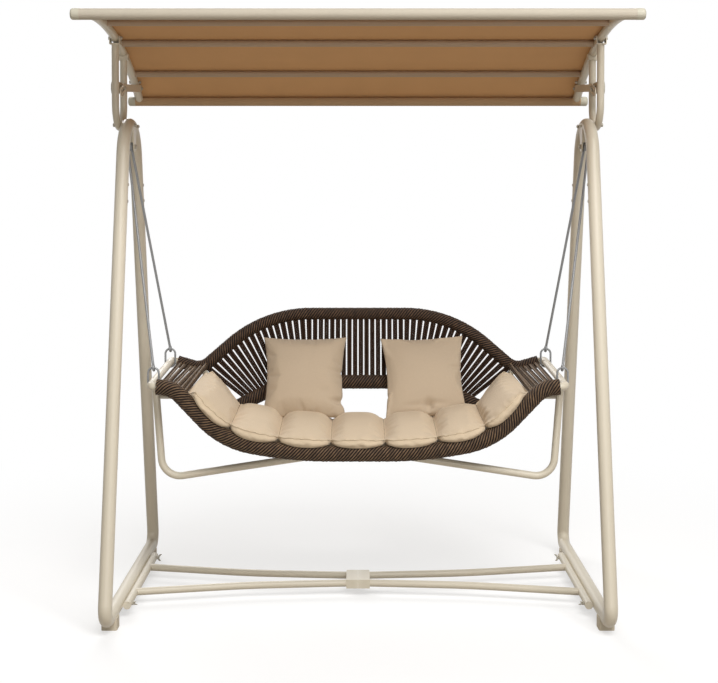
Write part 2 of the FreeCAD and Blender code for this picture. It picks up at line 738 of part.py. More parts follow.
def build_quadrants():
    """Slotted arc about the tilt pivot, carried by an arm on the inner side of the side rail."""
    to_clamp = clamp_point - tilt_pivot
    slot_radius = sqrt(to_clamp.y ** 2 + to_clamp.z ** 2)
    rest_angle = degrees(atan2(to_clamp.z, to_clamp.y))
    pivot_low = V(quadrant_outer_x - quadrant_thickness, tilt_pivot.y, tilt_pivot.z)

    def arc_band(width, first, last):
        """Curved bar about the tilt pivot with round ends."""
        ring = Part.makeCylinder(slot_radius + width / 2, quadrant_thickness, pivot_low, axis_x, 360)
        ring = ring.cut(Part.makeCylinder(slot_radius - width / 2, quadrant_thickness, pivot_low, axis_x, 360))
        wedge = [pivot_low]
        for angle in (first, (first + last) / 2, last):
            wedge.append(pivot_low + V(0, cos(radians(angle)), sin(radians(angle))) * slot_radius * 2)
        ring = ring.common(Part.Face(Part.makePolygon(wedge + wedge[:1])).extrude(axis_x * quadrant_thickness))
        ends = []
        for angle in (first, last):
            centre = pivot_low + V(0, cos(radians(angle)), sin(radians(angle))) * slot_radius
            ends.append(Part.makeCylinder(width / 2, quadrant_thickness, centre, axis_x))
        return ring.fuse(ends).removeSplitter()

    band = arc_band(quadrant_band, rest_angle - tilt_range, rest_angle)
    slot = arc_band(clamp_bolt + 2 * rest_gap, rest_angle - tilt_range - 0.2, rest_angle + 0.2)
    far = canopy_point(quadrant_bolt_places[-1])
    near = V(0, clamp_point.y, clamp_point.z)
    along = (far - near).normalize()
    across = along.cross(axis_x) * (quadrant_arm_width / 2)
    tip = far + along * quadrant_arm_width / 2
    arm = Part.Face(Part.makePolygon([near + across, tip + across, tip - across, near - across, near + across]))
    arm = arm.extrude(axis_x * quadrant_thickness)
    arm.translate(axis_x * pivot_low.x)
    under_fabric = canopy_centre + axis_x * (pivot_low.x - 10)
    arm = arm.common(Part.makeCylinder(canopy_radius + canopy_rail / 2 - 2, 40, under_fabric, axis_x))
    plate = band.fuse(arm).removeSplitter().cut(slot)
    bolt_points = [canopy_point(y, x=post_x) for y in quadrant_bolt_places]
    holes = [bolt_hole(point, 60, screw_shaft + 2 * fit_gap) for point in bolt_points]
    add_pair("tilt_quadrant", plate.cut(group(holes)))
    bolts = []
    for point in bolt_points:
        outside = point + axis_x * (canopy_rail / 2 + fit_gap)
        inside = point - axis_x * (canopy_rail / 2 + quadrant_thickness + fit_gap)
        bolts += through_bolt(outside, inside, screw_shaft, screw_head)
    nodes["quadrant_bolts"] = both_sides(bolts)


# Seat frame

recline = tan(radians(back_recline))


def back_point(x, z):
    """Point in the leaning plane of the back."""
    return V(x, back_base_y + (z - back_base_z) * recline, z)


rear_corner_y = back_point(0, rear_corner_z).y
front_knee = V(knee_x, front_rim_y, front_rim_low)
front_hip = V(hip_x, front_rim_y, front_rim_low + hip_rise)
front_arm = V(arm_x, front_rim_y, front_corner_z - arm_drop)
front_corner = V(end_tube_x, front_rim_y, front_corner_z)
rear_corner = back_point(end_tube_x, rear_corner_z)
end_middle = (front_corner + rear_corner) * 0.5
back_dip = back_point(back_dip_x, back_dip_z)
back_shoulder = back_point(back_shoulder_x, back_top)

front_rim_right = [front_knee, front_hip, front_arm, front_corner, end_middle]
front_radii_right = [knee_radius, hip_radius, arm_radius, corner_radius]
front_rim_path = bent_path(both_halves(front_rim_right), front_radii_right[::-1] + front_radii_right)
back_rim_right = [back_shoulder, back_dip, rear_corner, end_middle]
back_radii_right = [shoulder_radius, dip_radius, corner_radius]
back_rim_path = bent_path(both_halves(back_rim_right), back_radii_right[::-1] + back_radii_right)
end_tube_outer = rod(front_corner, rear_corner, seat_tube)

# The ropework covers the rims up to just short of their outer corners
wrap_end_x = end_tube_x - corner_radius - 2
front_wrap_end = front_arm + (front_corner - front_arm) * ((wrap_end_x - front_arm.x) / (end_tube_x - front_arm.x))
front_wrap_points = [front_knee, front_hip, front_arm, front_wrap_end]
front_wrap_radii = [knee_radius, hip_radius, arm_radius]
front_wrap_path = bent_path(both_halves(front_wrap_points), front_wrap_radii[::-1] + front_wrap_radii)
back_wrap_end = back_dip + (rear_corner - back_dip) * ((wrap_end_x - back_dip_x) / (end_tube_x - back_dip_x))
back_wrap_points = [back_shoulder, back_dip, back_wrap_end]
back_wrap_radii = [shoulder_radius, dip_radius]
back_wrap_path = bent_path(both_halves(back_wrap_points), back_wrap_radii[::-1] + back_wrap_radii)

# The seat pan's rear rail rises to the dip of the back rim on each side
rear_knee = V(front_knee.x, rear_rail_y, front_rim_low)
rear_hip = V(front_hip.x, rear_rail_y, front_hip.z)
rear_rail_right = [rear_knee, rear_hip, back_dip]
rear_radii_right = [knee_radius, hip_radius / 2]
rear_rail_path = bent_path(both_halves(rear_rail_right), rear_radii_right[::-1] + rear_radii_right)
lower_shoulder = back_point(lower_bar_shoulder_x, lower_bar_z)
lower_end = back_point(lower_bar_end_x, lower_bar_end_z)
lower_bar_path = bent_path(both_halves([lower_shoulder, lower_end]), [lower_bar_bend, lower_bar_bend])


def sleeve(path, diameter):
    """Rope wrapping as a plain sleeve round a seat tube."""
    return bar(path, diameter).cut(bar(path, seat_tube + 2 * rest_gap))


def build_seat_frame():
    nodes["seat_front_rim"] = tube(front_rim_path, seat_tube, seat_wall)
    nodes["seat_back_rim"] = tube(back_rim_path, seat_tube, seat_wall)
    back_core = bar(back_rim_path, seat_tube)
    rail_outer = bar(rear_rail_path, rail_tube)
    nodes["seat_rear_rail"] = tube(rear_rail_path, rail_tube, seat_wall).cut(back_core)
    nodes["front_rim_wrap"] = sleeve(front_wrap_path, front_wrap)
    nodes["back_rim_wrap"] = sleeve(back_wrap_path, back_wrap).cut(rail_outer)
    post_foot = nearest_on_path(rear_rail_path, lower_end)
    post = straight_tube(lower_end, post_foot, rail_tube, seat_wall).cut(rail_outer)
    bar_core = bar(lower_bar_path, seat_tube)
    posts = [post.cut(bar_core), mirror_x(post.cut(bar_core))]
    lower_bar = tube(lower_bar_path, seat_tube, seat_wall)
    ends = [Part.makeSphere(seat_tube / 2, point) for point in (lower_end, mirrored(lower_end))]
    ends = [end.cut(bar_core) for end in ends]
    nodes["back_lower_bar"] = lower_bar.fuse(ends + posts).removeSplitter()
    nodes["lower_bar_wrap"] = sleeve(lower_bar_path, lower_wrap).cut(group(posts + ends))
    build_support(rail_outer)


def nearest_on_path(path, point):
    return path.distToShape(Part.Vertex(point))[1][0][0]


def build_support(rail_outer):
    """Drop tubes under the end tubes, joined by an arch, with a brace back to the rear rail."""
    arch_y = front_hang_y + arch_behind_link
    top = V(end_tube_x, arch_y, end_tube_height(arch_y))
    low = V(arch_drop_x, arch_y, arch_low)
    crown = V(0, arch_y, arch_crown)
    radii = [arch_corner_radius, arch_crown_radius, arch_corner_radius]
    path = bent_path([mirrored(top), mirrored(low), crown, low, top], radii)
    outer = bar(path, arch_tube)
    arch = tube(path, arch_tube, seat_wall)
    ratio = (brace_height - low.z) / (top.z - low.z)
    brace_start = low + (top - low) * ratio
    under = V(0.8, 0, -0.6) * (rail_tube * 0.8)
    brace_end = path_point_at_x(rear_rail_path, brace_rear_x) + under
    brace_end = brace_end + (brace_end - brace_start).normalize() * (rail_tube / 2)
    brace = straight_tube(brace_start, brace_end, rail_tube, seat_wall).cut(outer).cut(rail_outer)
    brace = max(brace.Solids, key=lambda solid: solid.Volume)
    support = arch.fuse([brace, mirror_x(brace)]).removeSplitter()
    ends = end_tube_outer.fuse(mirror_x(end_tube_outer))
    support = support.cut(ends)
    nodes["seat_support_arch"] = max(support.Solids, key=lambda solid: solid.Volume)


def path_point_at_x(path, x):
    """Point of a path where it crosses a plane square to X."""
    return min(path.discretize(Number=2001), key=lambda point: abs(point.x - x))


# Ropework

def strand(start, end, across, start_width, end_width):
    """Flat six-sided strand between two points; its width lies along the across direction."""
    along = (end - start).normalize()
    side = (across - along * across.dot(along)).normalize()
    normal = along.cross(side)
    sections = []
    for point, width in ((start, start_width), (end, end_width)):
        half = strand_thickness / 2
        ring = [side * (width / 2), side * (width / 4) + normal * half, side * (-width / 4) + normal * half]
        ring += [item * -1 for item in ring]
        sections.append(Part.makePolygon([point + item for item in ring + ring[:1]]))
    return Part.makeLoft(sections, True, True)


def trimmed(start, end, start_radius, end_radius, start_tangent, end_tangent, width):
    """Ends of a strand moved from two tube centre lines to their surfaces, also where a tube bends."""
    along = (end - start).normalize()
    moved = []
    for point, radius, tangent, sign in ((start, start_radius, start_tangent, 1), (end, end_radius, end_tangent, -1)):
        slant = abs(along.dot(tangent))
        square = sqrt(1 - slant ** 2)
        reach = (radius + rest_gap) / square + width / 2 * slant / square
        reach += (reach * slant) ** 2 / (2 * hip_radius * square)
        moved.append(point + along * (reach * sign))
    return moved


def spaced_points(path, count):
    """Points and tangents spread evenly along a path, half a step in from its ends."""
    points = path.discretize(Number=2 * count + 1)
    return [(points[2 * k + 1], (points[2 * k + 2] - points[2 * k]).normalize()) for k in range(count)]


def string_between(first, second, count, radii, first_width, second_width):
    """Strands from one path to another, each path shared out evenly."""
    strands = []
    for (start, start_tangent), (end, end_tangent) in zip(spaced_points(first, count), spaced_points(second, count)):
        width = max(first_width, second_width)
        low, high = trimmed(start, end, radii[0], radii[1], start_tangent, end_tangent, width)
        strands.append(strand(low, high, start_tangent, first_width, second_width))
    return strands


pan_front_end = front_hip + (front_arm - front_hip) * pan_share
pan_rear_end = rear_hip + (back_dip - rear_hip) * pan_share


def pan_paths():
    """Front and rear edges of the seat pan, as far up the sides as its strands go."""
    front = bent_path(both_halves([front_knee, front_hip, pan_front_end]),
                      [hip_radius, knee_radius, knee_radius, hip_radius])
    rear = bent_path(both_halves([rear_knee, rear_hip, pan_rear_end]),
                     [hip_radius / 2, knee_radius, knee_radius, hip_radius / 2])
    return front, rear


def build_ropework():
    top_left = back_point(-back_centre_half, back_top)
    top_right = back_point(back_centre_half, back_top)
    low_left = back_point(-back_centre_half, lower_bar_z)
    low_right = back_point(back_centre_half, lower_bar_z)
    top_line = Part.Wire([Part.LineSegment(top_left, top_right).toShape()])
    low_line = Part.Wire([Part.LineSegment(low_left, low_right).toShape()])
    radii = (back_wrap / 2, lower_wrap / 2)
    back = string_between(top_line, low_line, back_centre_strands, radii, strand_width, strand_width)
    fan_end = back_dip + (back_shoulder - back_dip).normalize() * (dip_radius * 0.45)
    fan_top = bent_path([top_right, back_shoulder, fan_end], [shoulder_radius])
    fan_low = bent_path([low_right, lower_shoulder, lower_end], [lower_bar_bend])
    fan = string_between(fan_top, fan_low, back_fan_strands, radii, strand_width, strand_fan_width)
    nodes["back_strands"] = group(back + fan + [mirror_x(item) for item in fan])
    front_pan, rear_pan = pan_paths()
    radii = (front_wrap / 2, rail_tube / 2)
    pan = string_between(front_pan, rear_pan, seat_strands, radii, strand_width, strand_width)
    nodes["seat_strands"] = group(pan)
    front_arm_line = bent_path([pan_front_end, front_arm, front_wrap_end], [arm_radius])
    dip_start = back_dip + (back_shoulder - back_dip).normalize() * (dip_radius * 0.6)
    rear_arm_line = bent_path([dip_start, back_dip, back_wrap_end], [dip_radius])
    radii = (front_wrap / 2, back_wrap / 2)
    arm = string_between(front_arm_line, rear_arm_line, arm_strands, radii, arm_strand_width, arm_strand_width)
    nodes["arm_strands"] = both_sides(arm)


# Cushions

def pan_points(path, count):
    """Evenly spaced points of the seat pan, from just inside its left end to its right end."""
    inset = cushion_end_gap / path.Length
    fine = path.discretize(Number=1001)
    steps = [inset + (1 - 2 * inset) * k / count for k in range(count + 1)]
    return [fine[round(step * 1000)] for step in steps]


def cushion_section(front, rear, y, thickness_share):
    """Outline of the cushion across the swing at one depth: flat below, a crown over each channel."""
    share = (y - front_rim_y) / (rear_rail_y - front_rim_y)
    base = [a + (b - a) * share for a, b in zip(front, rear)]
    base = [V(point.x, y, point.z) for point in base]
    lift = strand_thickness / 2 + rest_gap
    lows = []
    seams = []
    for k, point in enumerate(base):
        before = base[max(k - 1, 0)]
        after = base[min(k + 1, len(base) - 1)]
        run = (after - before).normalize()
        normal = V(-run.z, 0, run.x)
        lows.append(point + normal * lift)
        end_share = 0.55 if k in (0, len(base) - 1) else 1.0
        seams.append(point + normal * (lift + cushion_seam * thickness_share * end_share))
    edges = [Part.LineSegment(a, b).toShape() for a, b in zip(lows, lows[1:])]
    edges.append(Part.LineSegment(lows[-1], seams[-1]).toShape())
    for right, left in zip(seams[:0:-1], seams[-2::-1]):
        run = (right - left).normalize()
        normal = V(-run.z, 0, run.x)
        top = (right + left) * 0.5 + normal * ((cushion_crown - cushion_seam) * thickness_share)
        edges.append(Part.Arc(right, top, left).toShape())
    edges.append(Part.LineSegment(seams[0], lows[0]).toShape())
    return Part.Wire(edges)


def build_cushion():
    front_pan, rear_pan = pan_paths()
    front = pan_points(front_pan, cushion_channels)
    rear = pan_points(rear_pan, cushion_channels)
    cushion_front = front_rim_y + front_wrap / 2 + cushion_front_gap
    depth = rear_rail_y - rail_tube / 2 - cushion_rear_gap - cushion_front
    stations = ((0.0, 0.42), (0.06, 0.72), (0.2, 0.95), (0.5, 1.0), (0.72, 0.88), (0.9, 0.64), (1.0, 0.34))
    sections = [cushion_section(front, rear, cushion_front + depth * place, share) for place, share in stations]
    nodes["seat_cushion"] = Part.makeLoft(sections, True, False)


def pillow_outline(half, level):
    """Square of one pillow layer, with its sides pulled in between the corners."""
    corners = [V(half, -half, level), V(half, half, level), V(-half, half, level), V(-half, -half, level)]
    pull = pillow_pull_in * half / (pillow_side / 2)
    edges = []
    for start, end in zip(corners, corners[1:] + corners[:1]):
        middle = (start + end) * 0.5
        inward = V(-middle.x, -middle.y, 0).normalize() * pull
        edges.append(Part.Arc(start, middle + inward, end).toShape())
    return Part.Wire(edges)


def build_pillows(names):
    """Square scatter pillows that stand on the cushion and lean against the back."""
    half = pillow_side / 2
    layers = ((-0.5, 0.40), (-0.42, 0.66), (-0.24, 0.88), (0.0, 1.0), (0.24, 0.88), (0.42, 0.66), (0.5, 0.40))
    sections = [pillow_outline(half * share, pillow_thickness * level) for level, share in layers]
    pillow = Part.makeLoft(sections, True, False)
    behind = group([nodes["back_strands"], nodes["lower_bar_wrap"], nodes["back_rim_wrap"]])
    for name, x in zip(names, pillow_places):
        placed = pillow.copy()
        placed.translate(V(0, half, 0))
        placed.rotate(V(0, 0, 0), axis_x, 90 - pillow_lean)
        placed.translate(V(x, pillow_foot_y, back_base_z))
        for step in range(8):
            placed.translate(V(0, 0, rest_gap - placed.distToShape(nodes["seat_cushion"])[0]))
            placed.translate(V(0, (placed.distToShape(behind)[0] - rest_gap) * 0.7, rest_gap))
        nodes[name] = placed


build_stand()
build_spreader()
build_pivots()
build_hangers()
build_posts()
build_clamps()
build_canopy_frame()
build_fabric()
build_quadrants()
build_seat_frame()
build_ropework()
build_cushion()
build_pillows(("left_pillow", "right_pillow"))

rearmost = nodes["right_rear_leg"].optimalBoundingBox(False).YMax
foremost = nodes["canopy_bar_caps"].optimalBoundingBox(False).YMin
to_origin = V(0, -(foremost + rearmost) / 2, 0)

os.makedirs("parts", exist_ok=True)
for name, shape in nodes.items():
    shape.translate(to_origin)
    shape.exportStep("parts/" + name + ".step")
print("nodes", len(nodes), "moved by", round(to_origin.y, 3))
print("tilt pivot", tilt_pivot + to_origin, "clamp", clamp_point + to_origin, "swing pivot", pivot + to_origin)
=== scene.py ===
# %% [markdown]
# # A garden swing with a rope-strung bench
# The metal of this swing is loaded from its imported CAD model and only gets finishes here. The soft
# parts (rope, cushion, pillows and canopy cloth) are built in mesh code over their plain CAD solids.
# Every piece rides on a CAD body, so the bench still swings and the canopy still tilts.

import json
import math

import bmesh
import bpy
import numpy as np
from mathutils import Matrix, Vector


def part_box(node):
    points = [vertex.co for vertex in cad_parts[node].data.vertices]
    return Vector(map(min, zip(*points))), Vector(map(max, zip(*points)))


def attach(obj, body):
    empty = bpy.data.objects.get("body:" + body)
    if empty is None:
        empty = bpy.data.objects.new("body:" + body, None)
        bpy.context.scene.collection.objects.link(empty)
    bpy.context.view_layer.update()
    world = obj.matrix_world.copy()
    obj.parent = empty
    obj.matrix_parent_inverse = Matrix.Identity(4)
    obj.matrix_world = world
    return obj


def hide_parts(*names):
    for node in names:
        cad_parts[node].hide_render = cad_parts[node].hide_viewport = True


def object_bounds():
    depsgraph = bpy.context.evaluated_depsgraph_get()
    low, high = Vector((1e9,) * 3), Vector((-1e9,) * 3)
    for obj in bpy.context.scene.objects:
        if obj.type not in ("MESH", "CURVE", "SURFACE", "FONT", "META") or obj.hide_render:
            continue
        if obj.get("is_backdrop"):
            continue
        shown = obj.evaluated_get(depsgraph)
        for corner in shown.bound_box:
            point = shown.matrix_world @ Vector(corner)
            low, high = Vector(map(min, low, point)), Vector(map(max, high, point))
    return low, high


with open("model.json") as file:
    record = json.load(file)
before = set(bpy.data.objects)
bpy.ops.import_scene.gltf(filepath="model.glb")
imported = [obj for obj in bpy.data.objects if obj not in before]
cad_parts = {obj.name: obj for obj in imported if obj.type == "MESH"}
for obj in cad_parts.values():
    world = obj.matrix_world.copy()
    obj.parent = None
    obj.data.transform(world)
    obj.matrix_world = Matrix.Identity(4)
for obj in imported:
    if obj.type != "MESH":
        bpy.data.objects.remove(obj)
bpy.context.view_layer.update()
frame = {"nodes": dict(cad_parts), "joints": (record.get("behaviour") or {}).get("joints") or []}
nodes = frame["nodes"]
joints = {joint["name"]: joint for joint in frame["joints"]}
stand_y = joints["seat_swing"]["pos_m"][1]
scene = bpy.context.scene

# %% [markdown]
# ## The camera
# The picture was taken from in front, a little below the canopy. A fitted focal length and a small
# lens shift put the rails, the feet and the bench where the picture has them. Sizes below are in
# millimetres from the stand's middle plane, as on the drawing, so one helper turns them to metres.

# %% Camera
mm = 0.001
camera_tilt = 0.0275


def place(x, y, z):
    """Point in metres, from millimetres measured about the stand's middle plane."""
    return Vector((x * mm, y * mm + stand_y, z * mm))


camera_data = bpy.data.cameras.new("front_camera")
camera_data.lens = 67.29
camera_data.sensor_width = 36.0
camera_data.shift_x = 0.0014
camera_data.shift_y = -0.157
camera_data.clip_end = 60.0
camera = bpy.data.objects.new("front_camera", camera_data)
camera.location = place(0, -5276, 1580)
camera.rotation_euler = (math.pi / 2 - camera_tilt, 0, 0)
scene.collection.objects.link(camera)
scene.camera = camera
print("camera at", [round(v, 3) for v in camera.location])

# %% [markdown]
# ## Small helpers for shader nodes
# Materials here are short node trees. One helper adds a node and sets its inputs, and a few more wrap
# the sums, spans and mixes that come up again and again. Two others open and close a node group with
# named sockets, so that several finishes can share it.

# %% Shader helpers


def add_node(tree, kind, settings=None, **inputs):
    """Add a node; settings are its properties, inputs are socket values or sockets to link from."""
    made = tree.nodes.new(kind)
    for key, value in (settings or {}).items():
        setattr(made, key, value)
    for key, value in inputs.items():
        socket = made.inputs[int(key[1:])] if key[0] == "_" else made.inputs[key.replace("_", " ")]
        if isinstance(value, bpy.types.NodeSocket):
            tree.links.new(value, socket)
        else:
            socket.default_value = value
    return made


def calc(tree, operation, *values):
    """Result of a maths node."""
    inputs = {f"_{number}": value for number, value in enumerate(values)}
    return add_node(tree, "ShaderNodeMath", {"operation": operation}, **inputs).outputs[0]


def ranged(tree, value, low, high, to_low, to_high, curve="LINEAR"):
    """Value carried from one span over to another."""
    span = {"From_Min": low, "From_Max": high, "To_Min": to_low, "To_Max": to_high}
    return add_node(tree, "ShaderNodeMapRange", {"interpolation_type": curve}, Value=value, **span).outputs[0]


def blended(tree, factor, first, second):
    """Mix of two colours."""
    mix = add_node(tree, "ShaderNodeMix", {"data_type": "RGBA"}, Factor=factor, _6=first, _7=second)
    return mix.outputs[2]


def scaled(tree, color, by):
    """Colour times a value."""
    return add_node(tree, "ShaderNodeVectorMath", {"operation": "SCALE"}, _0=color, Scale=by).outputs[0]


def noise(tree, at, scale, detail):
    """Outputs of a noise texture: its value, then its colour."""
    return add_node(tree, "ShaderNodeTexNoise", Vector=at, Scale=scale, Detail=detail).outputs


def object_space(tree):
    """Place on the object, in metres."""
    return add_node(tree, "ShaderNodeTexCoord").outputs["Object"]


def blank_tree(owner):
    """Emptied node tree of a material or world."""
    owner.use_nodes = True
    owner.node_tree.nodes.clear()
    return owner.node_tree


print("shader helpers ready")

# %% Group helpers
color_kind, number_kind = "NodeSocketColor", "NodeSocketFloat"
finish_outputs = [("Color", color_kind), ("Roughness", number_kind), ("Height", number_kind)]


def open_group(name, **inputs):
    """New shader node group and its input sockets; a colour's default value is a tuple."""
    group = bpy.data.node_groups.new(name, "ShaderNodeTree")
    for label, value in inputs.items():
        kind = color_kind if isinstance(value, tuple) else number_kind
        socket = group.interface.new_socket(label.replace("_", " "), in_out="INPUT", socket_type=kind)
        socket.default_value = value
    for label, kind in finish_outputs:
        group.interface.new_socket(label, in_out="OUTPUT", socket_type=kind)
    return group, group.nodes.new("NodeGroupInput").outputs


def close_group(group, **results):
    """Link what the group makes to its outputs."""
    out = group.nodes.new("NodeGroupOutput")
    for label, source in results.items():
        group.links.new(source, out.inputs[label])
    print("group", group.name)


def linear(red, green, blue):
    """Colour picked on screen, 0 to 255, as the linear colour that shaders use."""
    parts = [value / 255 for value in (red, green, blue)]
    return tuple(p / 12.92 if p < 0.04045 else ((p + 0.055) / 1.055) ** 2.4 for p in parts) + (1.0,)


def finish(name, group, values, bump, **shader):
    """Material of one Principled shader; values fill the group's inputs in turn, colours as on screen."""
    made = bpy.data.materials.new(name)
    tree = blank_tree(made)
    skin = add_node(tree, "ShaderNodeGroup", {"node_tree": group})
    for socket, value in zip(skin.inputs, values):
        socket.default_value = linear(*value) if isinstance(value, tuple) else value
    out = skin.outputs
    relief = add_node(tree, "ShaderNodeBump", Strength=bump[0], Distance=bump[1], Height=out["Height"])
    surface = add_node(tree, "ShaderNodeBsdfPrincipled", Base_Color=out["Color"], Roughness=out["Roughness"],
                       Normal=relief.outputs["Normal"], **shader)
    add_node(tree, "ShaderNodeOutputMaterial", Surface=surface.outputs[0])
    return made


print("finish outputs", [label for label, kind in finish_outputs])

# %% [markdown]
# ## Stage and light
# The swing stands on a plain pale floor in soft studio light. The floor is ordinary matt white where
# the swing's shadow falls and fades to pure white further out, for camera rays only, so its edge
# can't be seen. The world does the same: white to the camera, a softer, warmer level for lighting.

# %% Floor
floor_half, floor_drop, floor_lift = 9.0, 0.0005, 0.58
fade_start, fade_end = 0.8, 3.2
white, floor_tone, bounce_tone = (1, 1, 1, 1), (0.46, 0.46, 0.46, 1), (0.42, 0.37, 0.31, 1)
floor_mesh = bpy.data.meshes.new("studio_floor")
corners = [(x * floor_half, y * floor_half, 0) for x, y in ((-1, -1), (1, -1), (1, 1), (-1, 1))]
floor_mesh.from_pydata(corners, [], [(0, 1, 2, 3)])
floor = bpy.data.objects.new("studio_floor", floor_mesh)
floor.location.z = -floor_drop
scene.collection.objects.link(floor)
floor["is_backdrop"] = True

floor_finish = bpy.data.materials.new("floor_white")
tree = blank_tree(floor_finish)
away = add_node(tree, "ShaderNodeVectorMath", {"operation": "LENGTH"}, _0=object_space(tree))
fade = ranged(tree, away.outputs["Value"], fade_start, fade_end, 0.0, 1.0, "SMOOTHSTEP")
ray = add_node(tree, "ShaderNodeLightPath").outputs
seen = calc(tree, "MAXIMUM", ray["Is Camera Ray"], ray["Is Glossy Ray"])
tone = blended(tree, ray["Is Diffuse Ray"], floor_tone, bounce_tone)
matt = add_node(tree, "ShaderNodeBsdfDiffuse", Color=tone)
raised = add_node(tree, "ShaderNodeEmission", Color=white, Strength=calc(tree, "MULTIPLY", seen, floor_lift))
ground = add_node(tree, "ShaderNodeAddShader", _0=matt.outputs[0], _1=raised.outputs[0])
bright = add_node(tree, "ShaderNodeEmission", Color=white, Strength=1.0)
mixed = add_node(tree, "ShaderNodeMixShader", _0=calc(tree, "MULTIPLY", fade, seen), _1=ground.outputs[0],
                 _2=bright.outputs[0])
add_node(tree, "ShaderNodeOutputMaterial", Surface=mixed.outputs[0])
floor_mesh.materials.append(floor_finish)
print("floor", 2 * floor_half, "m wide")

# %% World and lamps
ambient, ambient_tone = 0.22, (1.0, 0.93, 0.82, 1)
world = bpy.data.worlds.new("studio_world")
scene.world = world
tree = blank_tree(world)
ray = add_node(tree, "ShaderNodeLightPath").outputs
seen = calc(tree, "MAXIMUM", ray["Is Camera Ray"], ray["Is Glossy Ray"])
seen = calc(tree, "MAXIMUM", seen, ray["Is Transmission Ray"])
glow = add_node(tree, "ShaderNodeBackground", Color=blended(tree, seen, ambient_tone, white),
                Strength=ranged(tree, seen, 0.0, 1.0, ambient, 1.0))
add_node(tree, "ShaderNodeOutputWorld", Surface=glow.outputs[0])


def softbox(name, location, target, size, power):
    """Square area lamp aimed at a point."""
    lamp = bpy.data.lights.new(name, "AREA")
    lamp.shape = "SQUARE"
    lamp.size = size
    lamp.energy = power
    made = bpy.data.objects.new(name, lamp)
    made.location = location
    made.rotation_euler = (Vector(target) - Vector(location)).to_track_quat("-Z", "Y").to_euler()
    scene.collection.objects.link(made)


softbox("key_softbox", (1.5, -4.4, 5.8), (0, 0, 0.9), size=3.4, power=385)
softbox("fill_softbox", (1.4, -6.8, 0.9), (0, 0, 1.4), size=2.6, power=110)
softbox("back_softbox", (-1.6, 4.6, 4.0), (0, 0, 1.2), size=3.0, power=170)
scene.view_settings.view_transform = "Standard"
print("lamps", len(bpy.data.lights), "ambient", ambient)

# %% [markdown]
# ## Painted metal
# The tubes are steel with a cream powder coat: a satin paint with a fine orange-peel skin, slightly
# cloudy in tone, paler where edges rub and a little dusty on top. Plastic pads, caps and knobs are
# moulded in the same cream, only duller, so all these finishes share one node group.

# %% Coat group
coat, coat_in = open_group("coat_skin", Color=(0.8, 0.8, 0.8, 1), Cloud=0.06, Grain_Scale=900.0,
                           Base_Roughness=0.4)
rubbed_tone, dust_tone = linear(236, 230, 216), linear(226, 220, 206)
at = object_space(coat)
clouds = noise(coat, at, 7.0, 4.0)[0]
peel = noise(coat, at, coat_in["Grain Scale"], 2.0)[0]
spread = calc(coat, "MULTIPLY_ADD", clouds, coat_in["Cloud"], 1.0)
centred = calc(coat, "MULTIPLY_ADD", coat_in["Cloud"], -0.5, spread)
shape = add_node(coat, "ShaderNodeNewGeometry").outputs
rubbed = ranged(coat, shape["Pointiness"], 0.54, 0.62, 0.0, 0.25)
worn = blended(coat, rubbed, scaled(coat, coat_in["Color"], centred), rubbed_tone)
upward = add_node(coat, "ShaderNodeSeparateXYZ", Vector=shape["Normal"]).outputs["Z"]
dusted = blended(coat, ranged(coat, upward, 0.6, 1.0, 0.0, 0.05), worn, dust_tone)
rough = calc(coat, "MULTIPLY_ADD", clouds, 0.12, coat_in["Base Roughness"])
close_group(coat, Color=dusted, Roughness=rough, Height=peel)

# %% Painted and moulded finishes
fine_skin, moulded_skin = (0.12, 0.0004), (0.2, 0.0005)
cream_paint = finish("cream_powder_coat", coat, [(208, 199, 180), 0.05, 950.0, 0.36], fine_skin,
                     Specular_IOR_Level=0.45, Coat_Weight=0.08, Coat_Roughness=0.25)
# painted shade: the crossbars are cream tubes, coloured brown for the shade under the canopy
painted_shade_coat = finish("crossbar_painted_shade_coat", coat, [(142, 108, 72), 0.05, 950.0, 0.42], fine_skin,
                      Specular_IOR_Level=0.3)
cream_plastic = finish("cream_moulded_plastic", coat, [(188, 183, 166), 0.08, 420.0, 0.5], moulded_skin,
                       Specular_IOR_Level=0.4)
pad_plastic = finish("foot_pad_plastic", coat, [(190, 178, 155), 0.08, 420.0, 0.6], moulded_skin,
                     Specular_IOR_Level=0.35)
dark_plastic = finish("dark_bush_plastic", coat, [(46, 45, 44), 0.2, 500.0, 0.42], moulded_skin)
print("painted finishes", cream_paint.name, cream_plastic.name, pad_plastic.name, painted_shade_coat.name)

# %% [markdown]
# ## Plated steel
# Hanger rods, links and bolts are plated steel, satin, with drawing lines along the wire and a faint
# spangle: grey on rods and links, paler and warmer on the bolts. Stretched noise gives the lines
# without any image.

# %% Steel group
plate, plate_in = open_group("plated_steel", Color=(0.5, 0.5, 0.5, 1), Line_Scale=260.0, Base_Roughness=0.3)
at = object_space(plate)
stretch = add_node(plate, "ShaderNodeMapping", Vector=at, Scale=(1.0, 1.0, 0.05)).outputs[0]
lines = noise(plate, stretch, plate_in["Line Scale"], 3.0)[0]
spangle = add_node(plate, "ShaderNodeTexVoronoi", Vector=at, Scale=160.0).outputs["Distance"]
toned = scaled(plate, plate_in["Color"], ranged(plate, spangle, 0.0, 1.0, 0.88, 1.10))
rough = calc(plate, "MULTIPLY_ADD", lines, 0.22, plate_in["Base Roughness"])
close_group(plate, Color=toned, Roughness=rough, Height=lines)
drawn_lines = (0.1, 0.0003)
zinc_steel = finish("zinc_plated_steel", plate, [(140, 141, 142), 300.0, 0.34], drawn_lines, Metallic=0.4)
bolt_steel = finish("pale_plated_bolts", plate, [(176, 170, 156), 300.0, 0.4], drawn_lines, Metallic=0.2)
print("steel finishes", zinc_steel.name, bolt_steel.name)

